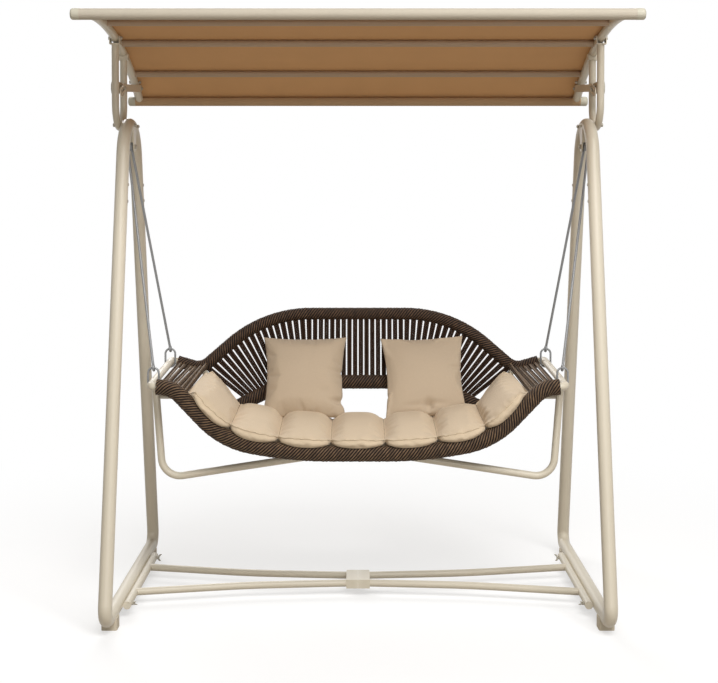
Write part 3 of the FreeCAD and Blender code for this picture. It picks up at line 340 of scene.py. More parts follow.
# %% [markdown]
# ## Woven cloth
# Cushions and canopy are plain-weave outdoor polyester. Two crossed bands of thread make the weave,
# with slubs and a soft cloudiness in the dye. The bands follow object space, so the weave needs no
# unwrapping and keeps its real size of about a millimetre.

# %% Cloth group
weave, weave_in = open_group("plain_weave", Color=(0.8, 0.7, 0.6, 1), Thread_Scale=480.0, Cloud=0.1,
                             Base_Roughness=0.85)
at = object_space(weave)
slub = noise(weave, at, 120.0, 3.0)
drift = add_node(weave, "ShaderNodeMix", {"data_type": "VECTOR"}, Factor=0.002, _4=at, _5=slub["Color"])
wander = drift.outputs[1]
warp = add_node(weave, "ShaderNodeTexWave", {"bands_direction": "X"}, Vector=wander,
                Scale=weave_in["Thread Scale"])
diagonal = add_node(weave, "ShaderNodeMapping", Vector=wander, Rotation=(math.radians(45), 0, 0)).outputs[0]
weft = add_node(weave, "ShaderNodeTexWave", {"bands_direction": "Z"}, Vector=diagonal,
                Scale=weave_in["Thread Scale"])
thread = calc(weave, "MAXIMUM", warp.outputs["Fac"], weft.outputs["Fac"])
cloudy = calc(weave, "MULTIPLY_ADD", noise(weave, at, 9.0, 5.0)[0], weave_in["Cloud"], 0.93)
fleck = calc(weave, "MULTIPLY_ADD", thread, 0.06, cloudy)
flecked = calc(weave, "MULTIPLY_ADD", slub[0], 0.05, fleck)
centred = calc(weave, "MULTIPLY_ADD", weave_in["Cloud"], -0.5, flecked)
rough = calc(weave, "MULTIPLY_ADD", thread, -0.1, weave_in["Base Roughness"])
height = calc(weave, "MULTIPLY_ADD", slub[0], 0.4, thread)
close_group(weave, Color=scaled(weave, weave_in["Color"], centred), Roughness=rough, Height=height)

# %% Cloth finishes
thick_weave, thin_weave = (0.35, 0.0006), (0.3, 0.0005)
soft = {"Specular_IOR_Level": 0.25, "Sheen_Weight": 0.15, "Sheen_Roughness": 0.5}
dull = {"Specular_IOR_Level": 0.2}
cushion_cloth = finish("cushion_canvas", weave, [(210, 191, 164), 420.0, 0.08, 0.88], thick_weave, **soft)
# painted shade: the pillows are the cushion's fabric, darker for the light that falls less on them
pillow_painted_shade_cloth = finish("pillow_canvas_painted_shade", weave, [(188, 170, 147), 420.0, 0.08, 0.88], thick_weave, **soft)
# painted shade: dark brown for the shadow in the cushion's seam creases
seam_shadow_cloth = finish("seam_crease_painted_shade", weave, [(132, 110, 84), 420.0, 0.08, 0.9], thin_weave, **dull)
canopy_top_cloth = finish("canopy_cloth_outside", weave, [(186, 177, 161), 520.0, 0.08, 0.82], thin_weave,
                          Specular_IOR_Level=0.3)
# painted shade: the cloth is one colour, its inside and rear pocket are darker copies for shade and light through
# it
canopy_inside_painted_shade = finish("canopy_cloth_inside_painted_shade", weave, [(212, 167, 119), 520.0, 0.10, 0.86], thin_weave, **dull)
canopy_rear_painted_shade = finish("canopy_cloth_rear_painted_shade", weave, [(182, 153, 120), 520.0, 0.10, 0.86], thin_weave, **dull)
print("cloth finishes", cushion_cloth.name, canopy_top_cloth.name, canopy_inside_painted_shade.name)

# %% [markdown]
# ## Rope
# The bench is wound and strung with dark brown polyester rope. Its crests get an olive tan as painted
# highlight, patchy at random, and its grooves are almost black as painted shade. The mesh builders
# below store how far each point stands out as an attribute called crest, and the rope finish turns
# that into this painted light and shade.

# %% Rope group
lay, lay_in = open_group("rope_fibre", Groove=(0, 0, 0, 1), Crest=(0.2, 0.2, 0.2, 1), Rub=1.0)
at = object_space(lay)
fibre = noise(lay, at, 650.0, 3.0)[0]
crest = add_node(lay, "ShaderNodeAttribute", {"attribute_name": "crest"}).outputs["Fac"]
raised = ranged(lay, crest, 0.15, 0.95, 0.0, 1.0, "SMOOTHSTEP")
patchy = ranged(lay, noise(lay, at, 38.0, 3.0)[0], 0.3, 0.7, 0.45, 1.0)
# painted highlight on the crests and painted shade in the grooves, patchy at random
painted_highlight = calc(lay, "MULTIPLY", calc(lay, "MULTIPLY", raised, patchy), lay_in["Rub"])
light_and_shade_tone = blended(lay, painted_highlight, lay_in["Groove"], lay_in["Crest"])
close_group(lay, Color=scaled(lay, light_and_shade_tone, ranged(lay, fibre, 0.0, 1.0, 0.75, 1.25)),
            Roughness=ranged(lay, fibre, 0.0, 1.0, 0.55, 0.8), Height=fibre)
fibre_skin, satin, dull = (0.4, 0.0006), {"Specular_IOR_Level": 0.3}, {"Specular_IOR_Level": 0.12}
wrap_rope = finish("wrap_rope", lay, [(24, 14, 9), (130, 104, 78), 1.0], fibre_skin, **satin)
back_rope = finish("back_rope", lay, [(22, 13, 9), (114, 87, 64), 0.9], fibre_skin, **satin)
strand_rope = finish("strand_rope", lay, [(27, 16, 10), (82, 58, 42), 0.8], fibre_skin, **dull)
arm_rope = finish("arm_rope", lay, [(34, 22, 15), (158, 130, 98), 1.0], fibre_skin, **satin)
print("rope finishes", wrap_rope.name, back_rope.name, strand_rope.name, arm_rope.name)

# %% [markdown]
# ## Finishes on the CAD pieces
# Every metal and plastic node keeps its CAD shape. Its material slot in the record says what it is
# made of, so one table is enough to dress nearly all of them. The feet are moulded in a duller tone,
# the three crossbars under the canopy get a brown that is painted shade from the canopy over them,
# and bolts and screws are paler than the wire of the hangers.

# %% Dress the CAD nodes
slot_finish = {"cream_metal": cream_paint, "steel": zinc_steel, "moulded_plastic": cream_plastic,
               "bush_plastic": dark_plastic, "rope": wrap_rope, "cushion_fabric": cushion_cloth,
               "canopy_fabric": canopy_top_cloth}
own_finish = {name: bolt_steel for name in nodes if "bolt" in name or "screw" in name or "pin" in name}
own_finish["foot_pads"] = pad_plastic
# the crossbars get the painted shade coat in place of the canopy's shade
own_finish.update({f"{which}_crossbar": painted_shade_coat for which in ("front", "middle", "rear")})
dressed = {}
for name, piece in nodes.items():
    for slot in piece.material_slots:
        word = slot.material.name.split(".")[0] if slot.material else ""
        slot.material = own_finish.get(name, slot_finish.get(word, cream_paint))
        dressed[slot.material.name] = dressed.get(slot.material.name, 0) + 1
print("dressed", dressed)

# %% [markdown]
# ## Lines along bent tubes
# The wound rims follow the same bent tubes as the CAD: straight runs joined by arcs. One helper
# rounds the corners of such a line and returns points an even step apart, with the distance run.

# %% Rounded lines
line_step = 0.003


def unit(vector):
    """Vector of length one."""
    return vector / np.linalg.norm(vector)


def run_of(points):
    """Distance run at each point of a line."""
    return np.concatenate([[0], np.cumsum(np.linalg.norm(np.diff(points, axis=0), axis=1))])


def points_at(points, run, s):
    """Points of a line at the distances s."""
    return np.stack([np.interp(s, run, points[:, axis]) for axis in range(3)], axis=-1)


def rounded_line(corners, radii):
    """Even points along straight runs whose inner corners are rounded to the given radii."""
    dense = [corners[0]]
    for before, corner, after, radius in zip(corners, corners[1:], corners[2:], radii):
        inward, outward = (before - corner).normalized(), (after - corner).normalized()
        half = inward.angle(outward) / 2
        reach = radius / math.tan(half)
        centre = corner + (inward + outward).normalized() * (radius / math.sin(half))
        first, last = corner + inward * reach - centre, corner + outward * reach - centre
        turn = first.angle(last)
        count = max(4, int(turn * 60))
        for k in range(count + 1):
            share = k / count
            arm = (first * math.sin((1 - share) * turn) + last * math.sin(share * turn)) / math.sin(turn)
            dense.append(centre + arm)
    dense = np.array(dense + [corners[-1]])
    run = run_of(dense)
    even = np.linspace(0, run[-1], max(2, int(round(run[-1] / line_step)) + 1))
    return points_at(dense, run, even), run[-1]


def both_halves(right):
    """Points of a line from its left end to its right end, from the points right of the middle."""
    return [Vector((-p.x, p.y, p.z)) for p in reversed(right)] + right


print("line helpers ready")

# %% Mesh helpers
merge_gap = 0.00005


def add_piece(name, verts, faces, material, crest=None, smooth=True):
    """Mesh object from arrays, with an optional crest value for each point."""
    mesh = bpy.data.meshes.new(name)
    mesh.from_pydata([tuple(v) for v in verts], [], faces)
    if crest is not None:
        stored = mesh.attributes.new("crest", "FLOAT", "POINT")
        stored.data.foreach_set("value", np.asarray(crest, dtype=np.float32))
    mesh.materials.append(material)
    mesh.polygons.foreach_set("use_smooth", [smooth] * len(mesh.polygons))
    piece = bpy.data.objects.new(name, mesh)
    scene.collection.objects.link(piece)
    return piece


def face_out(piece, clean=False):
    """Turn all faces outwards; clean first merges double points and closes open ends."""
    shaper = bmesh.new()
    shaper.from_mesh(piece.data)
    if clean:
        bmesh.ops.remove_doubles(shaper, verts=shaper.verts, dist=merge_gap)
        bmesh.ops.dissolve_degenerate(shaper, edges=shaper.edges, dist=merge_gap)
        loose = [v for v in shaper.verts if not v.link_faces]
        bmesh.ops.delete(shaper, geom=loose, context="VERTS")
        bmesh.ops.holes_fill(shaper, edges=[e for e in shaper.edges if e.is_boundary], sides=0)
    bmesh.ops.recalc_face_normals(shaper, faces=shaper.faces)
    shaper.to_mesh(piece.data)
    shaper.free()


def tube_faces(base, rings, sides):
    """Faces of a tube made of rings of points, with both ends closed."""
    faces = []
    for i in range(rings - 1):
        for j in range(sides):
            k = (j + 1) % sides
            a, b = base + i * sides, base + (i + 1) * sides
            faces.append((a + j, a + k, b + k, b + j))
    faces.append(tuple(base + j for j in reversed(range(sides))))
    faces.append(tuple(base + (rings - 1) * sides + j for j in range(sides)))
    return faces


print("mesh helpers ready")

# %% [markdown]
# ## Wound rims
# The rims are tubes wound with several ropes side by side, so the turns lean. A mesh whose rings lean
# the same way keeps every rope on its own row of points: each ring is sheared along the tube as it
# goes round, and the last point of a ring joins an earlier ring.

# %% Wound tube
rows_per_rope, probe = 9, 0.004


def wound_tube(name, right, bends, normal, material, radius, pitch, starts, relief, around):
    """Tube wound with ropes; the rings lean with the turns, and crest is 1 on top of a rope."""
    line, length = rounded_line(both_halves(right), bends[::-1] + bends)
    step = pitch / rows_per_rope
    ahead = starts * rows_per_rope
    rings = int(length / step) + ahead + 1
    i, j = np.meshgrid(np.arange(rings), np.arange(around), indexing="ij")
    s = np.clip((i - ahead * j / around) * step, 0.0, length)
    places = np.linspace(0, length, len(line))
    at, after, before = [points_at(line, places, spot) for spot in
                         (s, np.minimum(s + probe, length), np.maximum(s - probe, 0))]
    run = (after - before) / np.linalg.norm(after - before, axis=2, keepdims=True)
    side = np.cross(np.array(normal), run)
    rise = np.sqrt(np.maximum(0.0, 1 - (2 * (i % rows_per_rope) / rows_per_rope - 1) ** 2))
    turn = i // rows_per_rope - starts * j / around
    uneven = 0.5 + 0.25 * np.sin(2.3 * turn) + 0.25 * np.sin(5.1 * turn + 1.0)
    out = radius - relief * (1 - rise * (1 - 0.25 * uneven))
    angle = (-2 * math.pi * j / around)[..., None]
    verts = at + out[..., None] * (np.cos(angle) * np.array(normal) + np.sin(angle) * side)
    crest = (rise ** 5 * (1 - 0.35 * uneven)).ravel()
    faces = []
    for i in range(rings - 1):
        for j in range(around):
            near, far = i * around + j, (i + 1) * around + j
            if j < around - 1:
                faces.append((near, far, far + 1, near + 1))
            elif i >= ahead:
                faces.append((near, far, (i + 1 - ahead) * around, (i - ahead) * around))
    piece = add_piece(name, verts.reshape(-1, 3), faces, material, crest)
    face_out(piece, clean=True)
    print(name, round(length, 3), "m,", len(piece.data.vertices), "points")
    return piece


print("winder ready,", rows_per_rope, "rows to a rope")

# %% Front rim
front_y, wrap_end_x = -332.0, 745.0
front_right = [place(238, front_y, 611), place(498, front_y, 658), place(684, front_y, 854),
               place(wrap_end_x, front_y, 859)]
front_wrap = wound_tube("front_rim_rope", front_right, [1.5, 0.33, 0.105], (0, -1, 0), wrap_rope, radius=0.0305,
                        pitch=0.0122, starts=12, relief=0.007, around=32)
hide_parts("front_rim_wrap")

# %% Back rim and lower bar
recline = math.radians(12)
back_normal = (0, -math.cos(recline), math.sin(recline))


def on_back(x, z):
    """Point of the reclined back plane."""
    return place(x, 258 + (z - 848) * math.tan(recline), z)


back_right = [on_back(386, 1073), on_back(645, 850), on_back(wrap_end_x, 878.2)]
back_wrap = wound_tube("back_rim_rope", back_right, [0.5, 0.07], back_normal, back_rope, radius=0.0255,
                       pitch=0.0115, starts=9, relief=0.0055, around=28)
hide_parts("back_rim_wrap")
lower_right = [on_back(298, 796), on_back(494, 698)]
lower_wrap = wound_tube("lower_bar_rope", lower_right, [0.15], back_normal, back_rope, radius=0.0295,
                        pitch=0.0122, starts=10, relief=0.0055, around=32)
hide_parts("lower_bar_wrap")
for wrap in (front_wrap, back_wrap, lower_wrap):
    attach(wrap, "seat")

# %% [markdown]
# ## Strands
# Between the rims run strands of rope laid in pairs. Their ends are read from the CAD solids, one
# flat bar for each strand. The fans at both ends of the back are strung anew over the same field,
# with fewer strands and one more outside it. Each rope is a prism with three lobes that turns as it
# goes, which is what a laid rope looks like from a step away.

# %% Read the strands
same_point = 0.00002


def strand_ends(node):
    """Ends and width of each bar of a strand node, from left to right."""
    bars = bmesh.new()
    bars.from_mesh(nodes[node].data)
    bmesh.ops.remove_doubles(bars, verts=bars.verts, dist=same_point)
    found, left = [], dict.fromkeys(bars.verts)
    while left:
        stack, island = [left.popitem()[0]], []
        while stack:
            vert = stack.pop()
            island.append(vert.co.copy())
            for edge in vert.link_edges:
                other = edge.other_vert(vert)
                if other in left:
                    del left[other]
                    stack.append(other)
        points = np.array(island)
        middle = points.mean(axis=0)
        axes = np.linalg.svd(points - middle, full_matrices=False)[2]
        run, across = (points - middle) @ axes[0], (points - middle) @ axes[1]
        low, high = run < run.min() + 0.25 * np.ptp(run), run > run.max() - 0.25 * np.ptp(run)
        ends = [(points[part].mean(axis=0), np.ptp(across[part])) for part in (low, high)]
        found.append((ends[0], ends[1], axes[1]))
    bars.free()
    return sorted(found, key=lambda item: item[0][0][0] + item[1][0][0])


def ends_towards(strands, axis, pick):
    """The lower or higher end of each strand along an axis; pick is min or max."""
    return np.array([pick((a[0], b[0]), key=lambda p: p[axis]) for a, b, across in strands])


back_strands = strand_ends("back_strands")
seat_strands = strand_ends("seat_strands")
arm_strands = strand_ends("arm_strands")
print("strands", len(back_strands), len(seat_strands), len(arm_strands))

# %% Strand builders
rope_sides, pair_offset, phase_step = 9, 0.92, 0.7


def laid_ropes(name, strands, material, lay_length, ring_step, into, share, second=1.0):
    """Pairs of laid ropes in place of flat strands; second scales the crest tone of each pair's second rope, as
    painted shade on it.
    """
    verts, faces, crest = [], [], []
    lobe = np.array([math.cos(3 * 2 * math.pi * j / rope_sides) for j in range(rope_sides)])
    for number, ((start, width_a), (end, width_b), across) in enumerate(strands):
        run = unit(end - start)
        side = unit(across - run * np.dot(across, run))
        up = np.cross(run, side)
        length = np.linalg.norm(end - start) + 2 * into
        count = max(4, int(length / ring_step))
        for pair in (-1, 1):
            base = len(verts)
            for i in range(count + 1):
                s = i / count
                size = share * (width_a + (width_b - width_a) * s)
                centre = start - run * into + run * (s * length) + side * (pair * pair_offset * size)
                turn = pair * 2 * math.pi * s * length / lay_length + number * phase_step
                for j in range(rope_sides):
                    angle = 2 * math.pi * j / rope_sides + turn
                    out = size * (0.97 + 0.13 * lobe[j])
                    verts.append(centre + out * (math.cos(angle) * side + math.sin(angle) * up))
                    # painted shade: second dims the crest tone of one rope of each pair
                    crest.append((0.5 + 0.5 * lobe[j]) * (second if pair > 0 else 1.0))
            faces += tube_faces(base, count + 1, rope_sides)
    piece = add_piece(name, verts, faces, material, crest)
    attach(piece, "seat")
    print(name, len(strands), "strands,", len(verts), "points")
    return piece


def respaced(strands, count, top_width, low_width):
    """The same field strung with another number of strands, of other widths, and one more outside it."""
    tops, lows = ends_towards(strands, 2, max), ends_towards(strands, 2, min)
    known = np.arange(len(strands))
    made = []
    for k in range(count):
        spot = (k + 0.5) / count * len(strands) - 0.5
        top, low = points_at(tops, known, spot), points_at(lows, known, spot)
        across = points_at(tops, known, spot + 0.5) - points_at(tops, known, spot - 0.5)
        made.append(((top, top_width), (low, low_width), across))
    outer, next_in = (0, 1) if tops[0][0] < 0 else (-1, -2)
    edge, inner = made[outer], made[next_in]
    extra = [(2 * edge[end][0] - inner[end][0], edge[end][1]) for end in (0, 1)]
    made.append((extra[0], extra[1], edge[2]))
    return made


print("strand builders ready,", rope_sides, "sides to a rope")

# %% String the bench
upright_bars, fan_count, fan_widths = 16, 17, (0.0175, 0.0125)
fan_bars = (len(back_strands) - upright_bars) // 2
left_fan = respaced(back_strands[:fan_bars], fan_count, *fan_widths)
right_fan = respaced(back_strands[-fan_bars:], fan_count, *fan_widths)
strung = left_fan + back_strands[fan_bars:-fan_bars] + right_fan
back_ropes = laid_ropes("back_ropes", strung, strand_rope, lay_length=0.022, ring_step=0.0036, into=0.006,
                        share=0.335)
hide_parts("back_strands")
seat_ropes = laid_ropes("seat_ropes", seat_strands, strand_rope, lay_length=0.022, ring_step=0.006,
                        into=0.004, share=0.27)
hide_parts("seat_strands")
# arm pairs: one rope painted as lit, the other with half its crest tone as painted shade
arm_ropes = laid_ropes("arm_ropes", arm_strands, arm_rope, lay_length=0.026, ring_step=0.0036, into=0.008,
                       share=0.33, second=0.5)
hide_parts("arm_strands")

# %% [markdown]
# ## Seat cushion
# The cushion is a long pad sewn into seven channels that follows the bowl of the seat and lies up its
# sides. Its form is written as a height over the strung pan: high on each channel, low at each seam,
# with an upright band below a piped edge. A short cloth simulation with air pressure then puffs it.

# %% Pan surface


def even_line(points, count, past):
    """Evenly spaced points of a line that is drawn out past both its ends."""
    run = run_of(points)
    first, last = points[0] + (points[0] - points[1]) * 5, points[-1] + (points[-1] - points[-2]) * 5
    before, after = -np.linalg.norm(first - points[0]), run[-1] + np.linalg.norm(last - points[-1])
    wide = np.concatenate([[before], run, [after]])
    return points_at(np.vstack([first, points, last]), wide, np.linspace(-past, run[-1] + past, count))


channels, per_channel = 7, 22
columns = channels * per_channel + 1
cushion_low, cushion_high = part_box("seat_cushion")
front_edge = even_line(ends_towards(seat_strands, 1, min), columns, 0.012)
rear_edge = even_line(ends_towards(seat_strands, 1, max), columns, 0.036)
print("pan", [round(v, 3) for v in front_edge[0]], [round(v, 3) for v in rear_edge[-1]])

# %% Cushion heights
front_crown, full_crown, rear_drop, fullest = 0.055, 0.086, 0.032, 0.7
seam_base, front_seam, rear_seam = 0.034, 0.014, 0.012


def arch(t):
    """Puff of a channel: 0 at its seams, 1 in its middle, steep beside the seams."""
    return max(0.0, 1 - abs(2 * t - 1) ** 2.9) ** 0.5


def crown_height(v):
    """Height of a channel's middle over the pan, from the front edge to the rear."""
    if v < fullest:
        return front_crown + (full_crown - front_crown) * (1 - (1 - v / fullest) ** 2.2)
    return full_crown - rear_drop * ((v - fullest) / (1 - fullest)) ** 2.6


def seam_height(v):
    """Height of a seam over the pan: it dips behind the piped front edge and rises to the rear."""
    return seam_base + front_seam * math.exp(-(v / 0.07) ** 2) + rear_seam * min(1.0, v / 0.5) ** 2


def pucker(i, v, puff):
    """Small ripples where the cloth is gathered at the piping and along the seams."""
    at_edge = 0.0020 * math.sin(1.7 * i + math.sin(0.6 * i) + 4 * v) * max(0.0, 1 - v / 0.14) * puff
    return at_edge + 0.0022 * math.sin(46 * v + 0.8 * i) * (1 - puff) * puff * 2


print("crown", [round(crown_height(v), 3) for v in (0, 0.5, 1)], "seam", round(seam_height(0.5), 3))

# %% Cushion form
top_rows, band_rows, under_rows = 34, 6, 16
edge_room, front_swell, rear_tuck, band_swell = 0.004, 0.060, 0.010, 0.010
end_drop, end_keep, over_seam, rim_reach = 0.036, 0.62, 0.004, 0.0308
under_gap, corner_lift, corner_depth = 0.0065, 0.034, 0.16
plan = [("top", k / top_rows) for k in range(top_rows + 1)]
plan += [("rear", k / band_rows) for k in range(1, band_rows)]
plan += [("under", (1 - k / under_rows) ** 1.8) for k in range(under_rows + 1)]
plan += [("front", k / band_rows) for k in range(1, band_rows)]
depths = [value if kind in ("top", "under") else float(kind == "rear") for kind, value in plan]
rim_y = stand_y + front_y * mm
cushion_verts, cushion_pins = [], []
for i in range(columns):
    t = (i % per_channel) / per_channel
    puff = arch(t)
    before, after = max(i - 1, 0), min(i + 1, columns - 1)
    along = front_edge[after] + rear_edge[after] - front_edge[before] - rear_edge[before]
    depth = rear_edge[i] - front_edge[i]
    up, inward = unit(np.cross(along, depth)), unit(depth)
    front_at = cushion_low[1] + edge_room - front_swell * (0.3 + 0.7 * puff)
    rear_at = cushion_high[1] - edge_room - rear_tuck * (1 - puff)
    start, stop = [(y - front_edge[i][1]) / depth[1] for y in (front_at, rear_at)]
    keep = end_keep if i in (0, columns - 1) else 1.0
    for (kind, value), v in zip(plan, depths):
        at = front_edge[i] + depth * (start + (stop - start) * v)
        crown, seam = crown_height(v), seam_height(v)
        if i // per_channel in (0, channels - 1):
            crown = max(crown - end_drop * v, seam + over_seam)
        high = seam + (crown - seam) * puff + pucker(i, v, puff)
        over_rim = math.sqrt(max(0.0, rim_reach ** 2 - (at[1] - rim_y) ** 2))
        edge = max(0.0, 1 - min(v, 1 - v) / corner_depth)
        low = max(under_gap + corner_lift * (1 - puff) ** 2 * edge ** 2, over_rim)
        lift, out = (high if kind == "top" else low), 0.0
        if kind in ("rear", "front"):
            share = value if kind == "rear" else 1 - value
            lift = high + (low - high) * share
            out = band_swell * puff * math.sin(math.pi * share) * (1 if kind == "rear" else -1)
        cushion_verts.append(at + up * lift * keep + inward * out)
        cushion_pins.append(1.0 if t == 0 or kind == "under" else 0.0)
print("cushion columns", columns, "ring", len(plan))

# %% Cushion mesh
ring = len(plan)
end_rings = ((0.004, 0.9), (0.007, 0.66), (0.009, 0.36), (0.0095, 0.1))
cushion_faces = []
for i in range(columns - 1):
    for j in range(ring):
        k = (j + 1) % ring
        cushion_faces.append((i * ring + j, i * ring + k, (i + 1) * ring + k, (i + 1) * ring + j))


def close_end(first, direction):
    """Round off one end of the pad with rings that shrink onto their middle line."""
    rim = np.array(cushion_verts[first:first + ring])
    under_start = top_rows + band_rows
    under_line = rim[under_start:under_start + under_rows + 1][::-1]
    under_places = depths[under_start:under_start + under_rows + 1][::-1]
    top_line = points_at(rim[:top_rows + 1], np.linspace(0, 1, top_rows + 1), depths)
    middle = (top_line + points_at(under_line, under_places, depths)) / 2
    last = first
    for out, keep in end_rings:
        base = len(cushion_verts)
        for j in range(ring):
            cushion_verts.append(middle[j] + (rim[j] - middle[j]) * keep + direction * out)
            cushion_pins.append(1.0)
        for j in range(ring):
            k = (j + 1) % ring
            quad = (last + j, last + k, base + k, base + j)
            cushion_faces.append(quad if direction[0] > 0 else quad[::-1])
        last = base
    cap = tuple(last + j for j in range(ring))
    cushion_faces.append(cap if direction[0] > 0 else cap[::-1])


close_end(0, unit(front_edge[0] - front_edge[2]))
close_end((columns - 1) * ring, unit(front_edge[-1] - front_edge[-3]))
cushion = add_piece("seat_cushion_pad", cushion_verts, cushion_faces, cushion_cloth)
face_out(cushion)
print("cushion points", len(cushion.data.vertices))

# %% Puffing helper
puff_frames, puff_slack = 20, 0.03


def puff_up(piece, pins, pressure, cap):
    """Short cloth simulation under air pressure; no point moves further than cap, in metres."""
    before = np.array([v.co[:] for v in piece.data.vertices])
    held = piece.vertex_groups.new(name="sewn")
    for index, weight in enumerate(pins):
        if weight > 0:
            held.add([index], weight, "REPLACE")
    cloth = piece.modifiers.new("puff", "CLOTH")
    settings = {"use_pressure": True, "uniform_pressure_force": pressure, "mass": 0.25, "tension_stiffness": 12,
                "compression_stiffness": 12, "bending_stiffness": 0.6, "quality": 6, "shrink_min": -puff_slack,
                "vertex_group_mass": held.name}
    for key, value in settings.items():
        setattr(cloth.settings, key, value)
    cloth.settings.effector_weights.gravity = 0
    cloth.collision_settings.use_collision = False
    cloth.point_cache.frame_end = puff_frames
    for step in range(1, puff_frames + 1):
        scene.frame_set(step)
    shown = piece.evaluated_get(bpy.context.evaluated_depsgraph_get())
    move = np.array([v.co[:] for v in shown.data.vertices]) - before
    piece.modifiers.remove(cloth)
    scene.frame_set(1)
    size = np.linalg.norm(move, axis=1)
    keep = np.minimum(1.0, cap / np.maximum(size, 1e-9))
    piece.data.vertices.foreach_set("co", (before + move * keep[:, None]).ravel())
    piece.data.update()
    return float(size.max())


cushion_cap = 0.008
moved = puff_up(cushion, cushion_pins, 3.0, cushion_cap)
print("cushion puffed by up to", round(moved / mm, 1), "mm, capped at", cushion_cap / mm)

# %% Piping


def piping(name, lines, radius, sides, material):
    """Thin cord along each line of points of the pad: sewn piping, or a dark cord that paints the shade in a seam
    crease.
    """
    verts, faces = [], []
    for line in lines:
        line = [cushion.data.vertices[index].co.copy() for index in line]
        faces += tube_faces(len(verts), len(line), sides)
        for i, at in enumerate(line):
            run = (line[min(i + 1, len(line) - 1)] - line[max(i - 1, 0)]).normalized()
            side = run.cross(Vector((0, 0, 1))).normalized()
            up = side.cross(run)
            for j in range(sides):
                angle = 2 * math.pi * j / sides
                verts.append(at + radius * (math.cos(angle) * side + math.sin(angle) * up))
    return add_piece(name, verts, faces, material)


seam_columns = [k * per_channel for k in range(1, channels)]
edge_lines = [[i * ring + row for i in range(columns)] for row in (0, top_rows)]
seam_lines = [[i * ring + row for row in range(top_rows + 1)] for i in seam_columns]
cushion_piping = piping("cushion_piping", edge_lines, 0.0028, 8, cushion_cloth)
# dark cords in the seam valleys paint the shade of the creases
seam_shadow_cords = piping("seam_shadow_cords", seam_lines, 0.0017, 6, seam_shadow_cloth)
for piece in (cushion, cushion_piping, seam_shadow_cords):
    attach(piece, "seat")
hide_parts("seat_cushion")
seam_crease = 0.9
creases = cushion.data.attributes.new("crease_edge", "FLOAT", "EDGE")
for edge in cushion.data.edges:
    a, b = edge.vertices
    on_seam = a < columns * ring and a // ring == b // ring and a // ring in seam_columns
    creases.data[edge.index].value = seam_crease if on_seam else 0.0
smoother = cushion.modifiers.new("smooth", "SUBSURF")
smoother.levels = smoother.render_levels = 1
print("piping points", len(cushion_piping.data.vertices))

# %% [markdown]
# ## Scatter pillows
# Two square pillows stand on the cushion and lean against the back. They are two square cloths sewn
# at the rim and filled: pointed corners, sides that pull in, a full middle and small dents where the
# filling has slumped. The same puffing step draws the cloth tight. A dent is given by its place, its
# two widths and its depth, and a pinch of the right side by its place, width and depth.

# %% Pillow form
cells, pillow_sink, pillow_lean = 44, 0.030, math.radians(28)
side_pull, top_pull, pillow_fill, pillow_height = 0.09, 0.05, 0.93, 1.03
rim_hold, pillow_cap = 0.6, 0.010


def pillow(name, node, shift, turn, narrow, dents, pinches):
    """Filled square pillow in the place of its CAD solid, shifted, turned and narrowed at its foot."""
    points = np.array([v.co[:] for v in nodes[node].data.vertices])
    right = np.array((1.0, 0, 0))
    up = np.array((0, math.sin(pillow_lean), math.cos(pillow_lean)))
    out = np.array((0, -math.cos(pillow_lean), math.sin(pillow_lean)))
    centre = sum(axis * (((points @ axis).max() + (points @ axis).min()) / 2) for axis in (right, up, out))
    centre = centre + np.array((shift, 0, -pillow_sink))
    half, thick = np.ptp(points @ right) / 2, np.ptp(points @ out) / 2
    right, up = right * math.cos(turn) - up * math.sin(turn), up * math.cos(turn) + right * math.sin(turn)
    verts, pins, faces, index = [], [], [], {}
    for face in (1, -1):
        for i in range(cells + 1):
            for j in range(cells + 1):
                s, t = 2 * i / cells - 1, 2 * j / cells - 1
                on_rim = i in (0, cells) or j in (0, cells)
                if on_rim and face < 0:
                    index[(face, i, j)] = index[(1, i, j)]
                    continue
                x = s * (1 - side_pull * (1 - t * t) * abs(s) ** 1.5) * (1 - narrow * (1 - t) / 2)
                y = t * (1 - top_pull * (1 - s * s) * abs(t) ** 1.5)
                for place_t, size, depth in pinches:
                    x -= depth * math.exp(-((t - place_t) / size) ** 2) * max(s, 0.0) ** 5
                swell = thick * pillow_fill * ((1 - s * s) * (1 - t * t)) ** 0.50
                for ds, dt, wide_s, wide_t, drop in dents:
                    swell -= drop * math.exp(-((s - ds) / wide_s) ** 2 - ((t - dt) / wide_t) ** 2)
                swell = max(swell, 0.0 if on_rim else 0.001)
                index[(face, i, j)] = len(verts)
                verts.append(centre + right * x * half + up * y * half * pillow_height + out * face * swell)
                pins.append(rim_hold if on_rim else 0.0)
    for face in (1, -1):
        for i in range(cells):
            for j in range(cells):
                quad = [index[(face, i + a, j + b)] for a, b in ((0, 0), (1, 0), (1, 1), (0, 1))]
                faces.append(tuple(quad if face > 0 else quad[::-1]))
    piece = add_piece(name, verts, faces, pillow_painted_shade_cloth)
    face_out(piece)
    grown = puff_up(piece, pins, 3.5, pillow_cap)
    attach(piece, "seat")
    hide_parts(node)
    finer = piece.modifiers.new("smooth", "SUBSURF")
    finer.levels = finer.render_levels = 1
    print(name, "side", round(2 * half, 3), "m, puffed by up to", round(grown / mm, 1), "mm")


print("pillow cells", cells)

